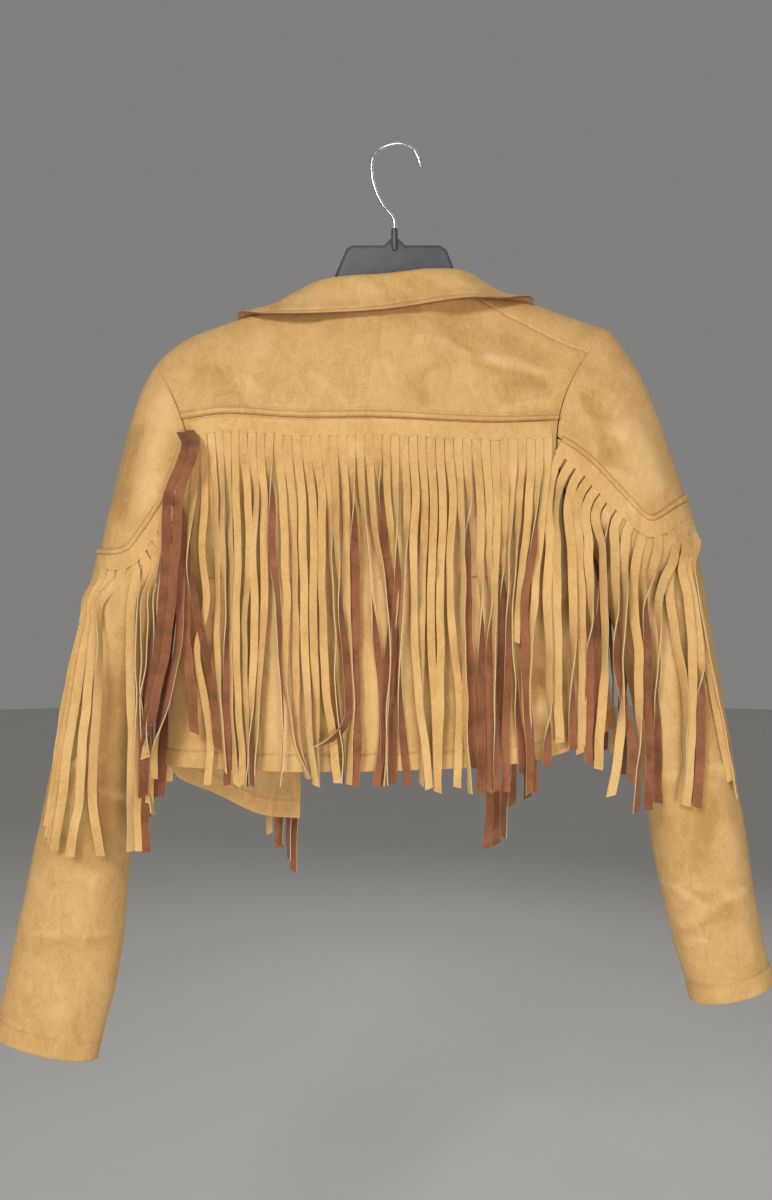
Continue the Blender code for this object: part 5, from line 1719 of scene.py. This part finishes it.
def lay_floor(settings):
    """A pale painted floor, a little uneven in tone."""
    made, tree, shader, where = new_material("pale_painted_floor", 0.7)
    worn = add(tree, 'ShaderNodeTexNoise', patches(where, 400, 4.0))
    colour = add(tree, 'ShaderNodeValToRGB', {"Fac": worn}, shades(settings.floor, (0.3, 0.96), (0.7, 1.0)))
    fill(tree, shader, {"Base Color": colour})
    mesh = bmesh.new()
    bmesh.ops.create_circle(mesh, cap_ends=True, segments=96, radius=9.0)
    bmesh.ops.translate(mesh, verts=mesh.verts, vec=(0, 0, FLOOR_HEIGHT))
    data = bpy.data.meshes.new("floor")
    mesh.to_mesh(data)
    mesh.free()
    data.materials.append(made)
    placed("floor", data)


def light_world(settings):
    """The even light that a pale room gives from all sides."""
    world = bpy.data.worlds.new("pale_surround")
    world.use_nodes = True
    shade = world.node_tree.nodes["Background"]
    shade.inputs["Color"].default_value = (*linear("#F4F3F1"), 1.0)
    shade.inputs["Strength"].default_value = settings.sky
    bpy.context.scene.world = world


def area_light(name, power, size, place):
    """A square light that faces the jacket."""
    data = bpy.data.lights.new(name, 'AREA')
    data.energy = power
    data.size = size
    item = placed(name, data)
    item.location = place
    item.rotation_euler = (Vector(LOOK_AT) - Vector(place)).to_track_quat('-Z', 'Y').to_euler()


def set_camera(scene):
    """The camera stands level, straight behind the jacket's back."""
    data = bpy.data.cameras.new("camera")
    data.lens = 35.0
    data.sensor_fit = 'VERTICAL'
    data.sensor_height = 36.0
    item = placed("camera", data)
    item.location = CAMERA_PLACE
    item.rotation_euler = (math.radians(90), 0.0, 0.0)
    scene.camera = item


# ---------------- operators

class JACKET_OT_looks(bpy.types.Operator):
    """Make the materials of the cloth, thread, moulding and wire"""
    bl_idname = "jacket.looks"
    bl_label = "Materials"

    def execute(self, context):
        make_looks(context.scene)
        return {'FINISHED'}


class JACKET_OT_body(bpy.types.Operator):
    """Sew the back, its yoke, the fronts and their yokes"""
    bl_idname = "jacket.body"
    bl_label = "Back and fronts"

    def execute(self, context):
        step = context.scene.jacket_cloth.step / MM
        wide, half = fine(400, step), fine(150, step)
        cloth("back_yoke_cloth", "back_yoke", BACK_YOKE, wide, fine(110, step), 1,
              YOKE_CREASES, "lrtb", seed=3)
        cloth("back_cloth", "back_body", BACK, wide, fine(310, step, HEM_DEEP), 1,
              BODY_CREASES, "lrt", HEM_DEEP, seed=4)
        for name, node, surface, rows, edge, seed in (
                ("front_yoke_left_cloth", "front_yoke_left", FRONT_YOKE_LEFT, fine(150, step), "ltb", 5),
                ("front_yoke_right_cloth", "front_yoke_right", FRONT_YOKE_RIGHT,
                 fine(190, step), "rtb", 6)):
            cloth(name, node, surface, half, rows, -1, YOKE_CREASES, edge, seed=seed)
        for name, node, surface, edge, seed in (
                ("front_left_cloth", "front_left", FRONT_LEFT, "lt", 7),
                ("front_right_cloth", "front_right", FRONT_RIGHT, "rt", 8)):
            cloth(name, node, surface, half, fine(300, step, HEM_DEEP), -1, BODY_CREASES, edge,
                  HEM_DEEP, seed=seed, inner="suede")
        return {'FINISHED'}


class JACKET_OT_collar(bpy.types.Operator):
    """Turn the collar over its stand"""
    bl_idname = "jacket.collar"
    bl_label = "Collar"

    def execute(self, context):
        step = context.scene.jacket_cloth.step / MM
        cloth("collar_cloth", "collar", collar_surface, fine(470, step), fine(95, 2.4, COLLAR_DEEP), 1,
              COLLAR_CREASES, "", COLLAR_DEEP, seed=9, inner="suede", wall=2.0, rim="backing")
        return {'FINISHED'}


class JACKET_OT_sleeves(bpy.types.Operator):
    """Set in the sleeves: a cap above the fringe seam and the sleeve below it"""
    bl_idname = "jacket.sleeves"
    bl_label = "Sleeves"

    def execute(self, context):
        step = context.scene.jacket_cloth.step / MM
        for side_name, rings, seam, way, creases, seed in (
                ("left", SLEEVE_LEFT, CAP_SEAM_LEFT, -1, LEFT_SLEEVE_CREASES, 11),
                ("right", SLEEVE_RIGHT, CAP_SEAM_RIGHT, 1, RIGHT_SLEEVE_CREASES, 12)):
            arm = sleeve_surface(rings, SLEEVE_STEP)

            def cap(angle, v, arm=arm, seam=seam):
                return arm(angle, seam_place(seam, angle) * v)

            def sleeve(angle, v, arm=arm, seam=seam):
                top = seam_place(seam, angle) if abs(angle) <= CAP_END else 0.0
                return arm(angle, top + (1 - top) * v)

            cloth("sleeve_cap_" + side_name + "_cloth", "sleeve_cap_" + side_name, cap,
                  angles(-CAP_END, CAP_END, 2.5), fine(150, step), way, CAP_CREASES, "tb", seed=seed)
            cloth("sleeve_" + side_name + "_cloth", "sleeve_" + side_name, sleeve,
                  SLEEVE_COLUMNS, fine(440, step, CUFF_DEEP), way, creases, "t", CUFF_DEEP,
                  closed=True, seed=seed + 10)
        return {'FINISHED'}


class JACKET_OT_fringe(bpy.types.Operator):
    """Hang the fringe of the back, the fronts and the sleeves, and sew the sleeves' welts"""
    bl_idname = "jacket.fringe"
    bl_label = "Fringe"

    def execute(self, context):
        behind, ahead = depth_of(BACK_YOKE, BACK), depth_of(FRONT_YOKE_LEFT, FRONT_LEFT,
                                                            FRONT_YOKE_RIGHT, FRONT_RIGHT)
        for node, surface, depth, side, strip, cuts, seed, ways in (
                ("back_fringe", BACK, behind, 1, BACK_STRIP, (), 21, BACK_HANG),
                ("front_fringe_left", FRONT_LEFT, ahead, -1, LEFT_STRIP, LEFT_CUTS, 22, ()),
                ("front_fringe_right", FRONT_RIGHT, ahead, -1, RIGHT_STRIP, RIGHT_CUTS, 26, ())):
            fringe(node, body_strip(surface, depth, side, strip), cuts, seed, ways)
        for side_name, rings, seam, lean, length, side, seed, ways, nudge, taper in (
                ("left", SLEEVE_LEFT, CAP_SEAM_LEFT, lean_left, LEFT_SLEEVE_STRAND, -1, 24,
                 LEFT_SLEEVE_HANG, LEFT_NUDGE, LEFT_TAPER),
                ("right", SLEEVE_RIGHT, CAP_SEAM_RIGHT, lean_right, RIGHT_SLEEVE_STRAND, 1, 29,
                 RIGHT_SLEEVE_HANG, RIGHT_NUDGE, RIGHT_TAPER)):
            strip = sleeve_strip(sleeve_surface(rings, SLEEVE_STEP), seam, side, over_body(behind, 1),
                                 over_body(ahead, -1), nudge, taper)
            cuts = [share * length for share in SLEEVE_CUTS]
            fringe("sleeve_fringe_" + side_name, strip, cuts, seed, ways, lean)
            sleeve_welt("sleeve_welt_" + side_name, strip, 150, seed + 10)
        return {'FINISHED'}


class JACKET_OT_welts(bpy.types.Operator):
    """Sew the welts that cover the fringe seams of the back and the fronts"""
    bl_idname = "jacket.welts"
    bl_label = "Welts"

    def execute(self, context):
        body_welt("back_welt", BACK_YOKE, 1, 170, 31)
        body_welt("front_welt_left", FRONT_YOKE_LEFT, -1, 56, 32)
        body_welt("front_welt_right", FRONT_YOKE_RIGHT, -1, 50, 33)
        return {'FINISHED'}


class JACKET_OT_stitching(bpy.types.Operator):
    """Topstitch the hems, cuffs, collar, front edges and seams"""
    bl_idname = "jacket.stitching"
    bl_label = "Topstitching"

    def execute(self, context):
        tree = stitch_tree()
        for piece, *rows in STITCHING:
            stitches(piece + "_stitches", [stitch_line(piece + "_cloth", *row) for row in rows], tree)
        return {'FINISHED'}


class JACKET_OT_hanger(bpy.types.Operator):
    """Mould the hanger and bend its hook"""
    bl_idname = "jacket.hanger"
    bl_label = "Hanger"

    def execute(self, context):
        hanger_moulding()
        hook_wire()
        return {'FINISHED'}


class JACKET_OT_cut(bpy.types.Operator):
    """Does nothing: no flat cut of the sheets of cloth is stated"""
    bl_idname = "jacket.cut"
    bl_label = "Flat cuts"

    def execute(self, context):
        return {'FINISHED'}


class JACKET_OT_stage(bpy.types.Operator):
    """Set up the floor, the lights and the camera"""
    bl_idname = "jacket.stage"
    bl_label = "Stage"

    def execute(self, context):
        settings = context.scene.jacket_stage
        context.scene.view_settings.view_transform = 'Standard'
        lay_floor(settings)
        light_world(settings)
        for name, power, size, place in LIGHTS:
            area_light(name, getattr(settings, power), size, place)
        set_camera(context.scene)
        return {'FINISHED'}


OPERATORS = (JACKET_OT_looks, JACKET_OT_body, JACKET_OT_collar, JACKET_OT_sleeves, JACKET_OT_fringe,
             JACKET_OT_welts, JACKET_OT_stitching, JACKET_OT_hanger, JACKET_OT_cut, JACKET_OT_stage)
SETTINGS = (("jacket_cloth", JacketClothSettings), ("jacket_fringe", JacketFringeSettings),
            ("jacket_stitches", JacketStitchSettings), ("jacket_hanger", JacketHangerSettings),
            ("jacket_stage", JacketStageSettings))


class JACKET_PT_panel(bpy.types.Panel):
    """Sizes, colours and steps of the jacket"""
    bl_idname = "JACKET_PT_panel"
    bl_label = "Fringed Jacket"
    bl_space_type = 'VIEW_3D'
    bl_region_type = 'UI'
    bl_category = "Jacket"

    def draw(self, context):
        for name, group in SETTINGS:
            box = self.layout.box()
            for key in group.__annotations__:
                box.prop(getattr(context.scene, name), key)
        for operator in OPERATORS:
            self.layout.operator(operator.bl_idname)


def register():
    """Let Blender know the settings, the operators and the panel."""
    for name, group in SETTINGS:
        bpy.utils.register_class(group)
        setattr(bpy.types.Scene, name, PointerProperty(type=group))
    for made in (*OPERATORS, JACKET_PT_panel):
        bpy.utils.register_class(made)


def unregister():
    """Take them out again."""
    for made in (JACKET_PT_panel, *reversed(OPERATORS)):
        bpy.utils.unregister_class(made)
    for name, group in reversed(SETTINGS):
        delattr(bpy.types.Scene, name)
        bpy.utils.unregister_class(group)


def main():
    """Run the operators in order."""
    register()
    for operator in OPERATORS:
        group, name = operator.bl_idname.split(".")
        getattr(getattr(bpy.ops, group), name)()


if __name__ == "__main__":
    main()
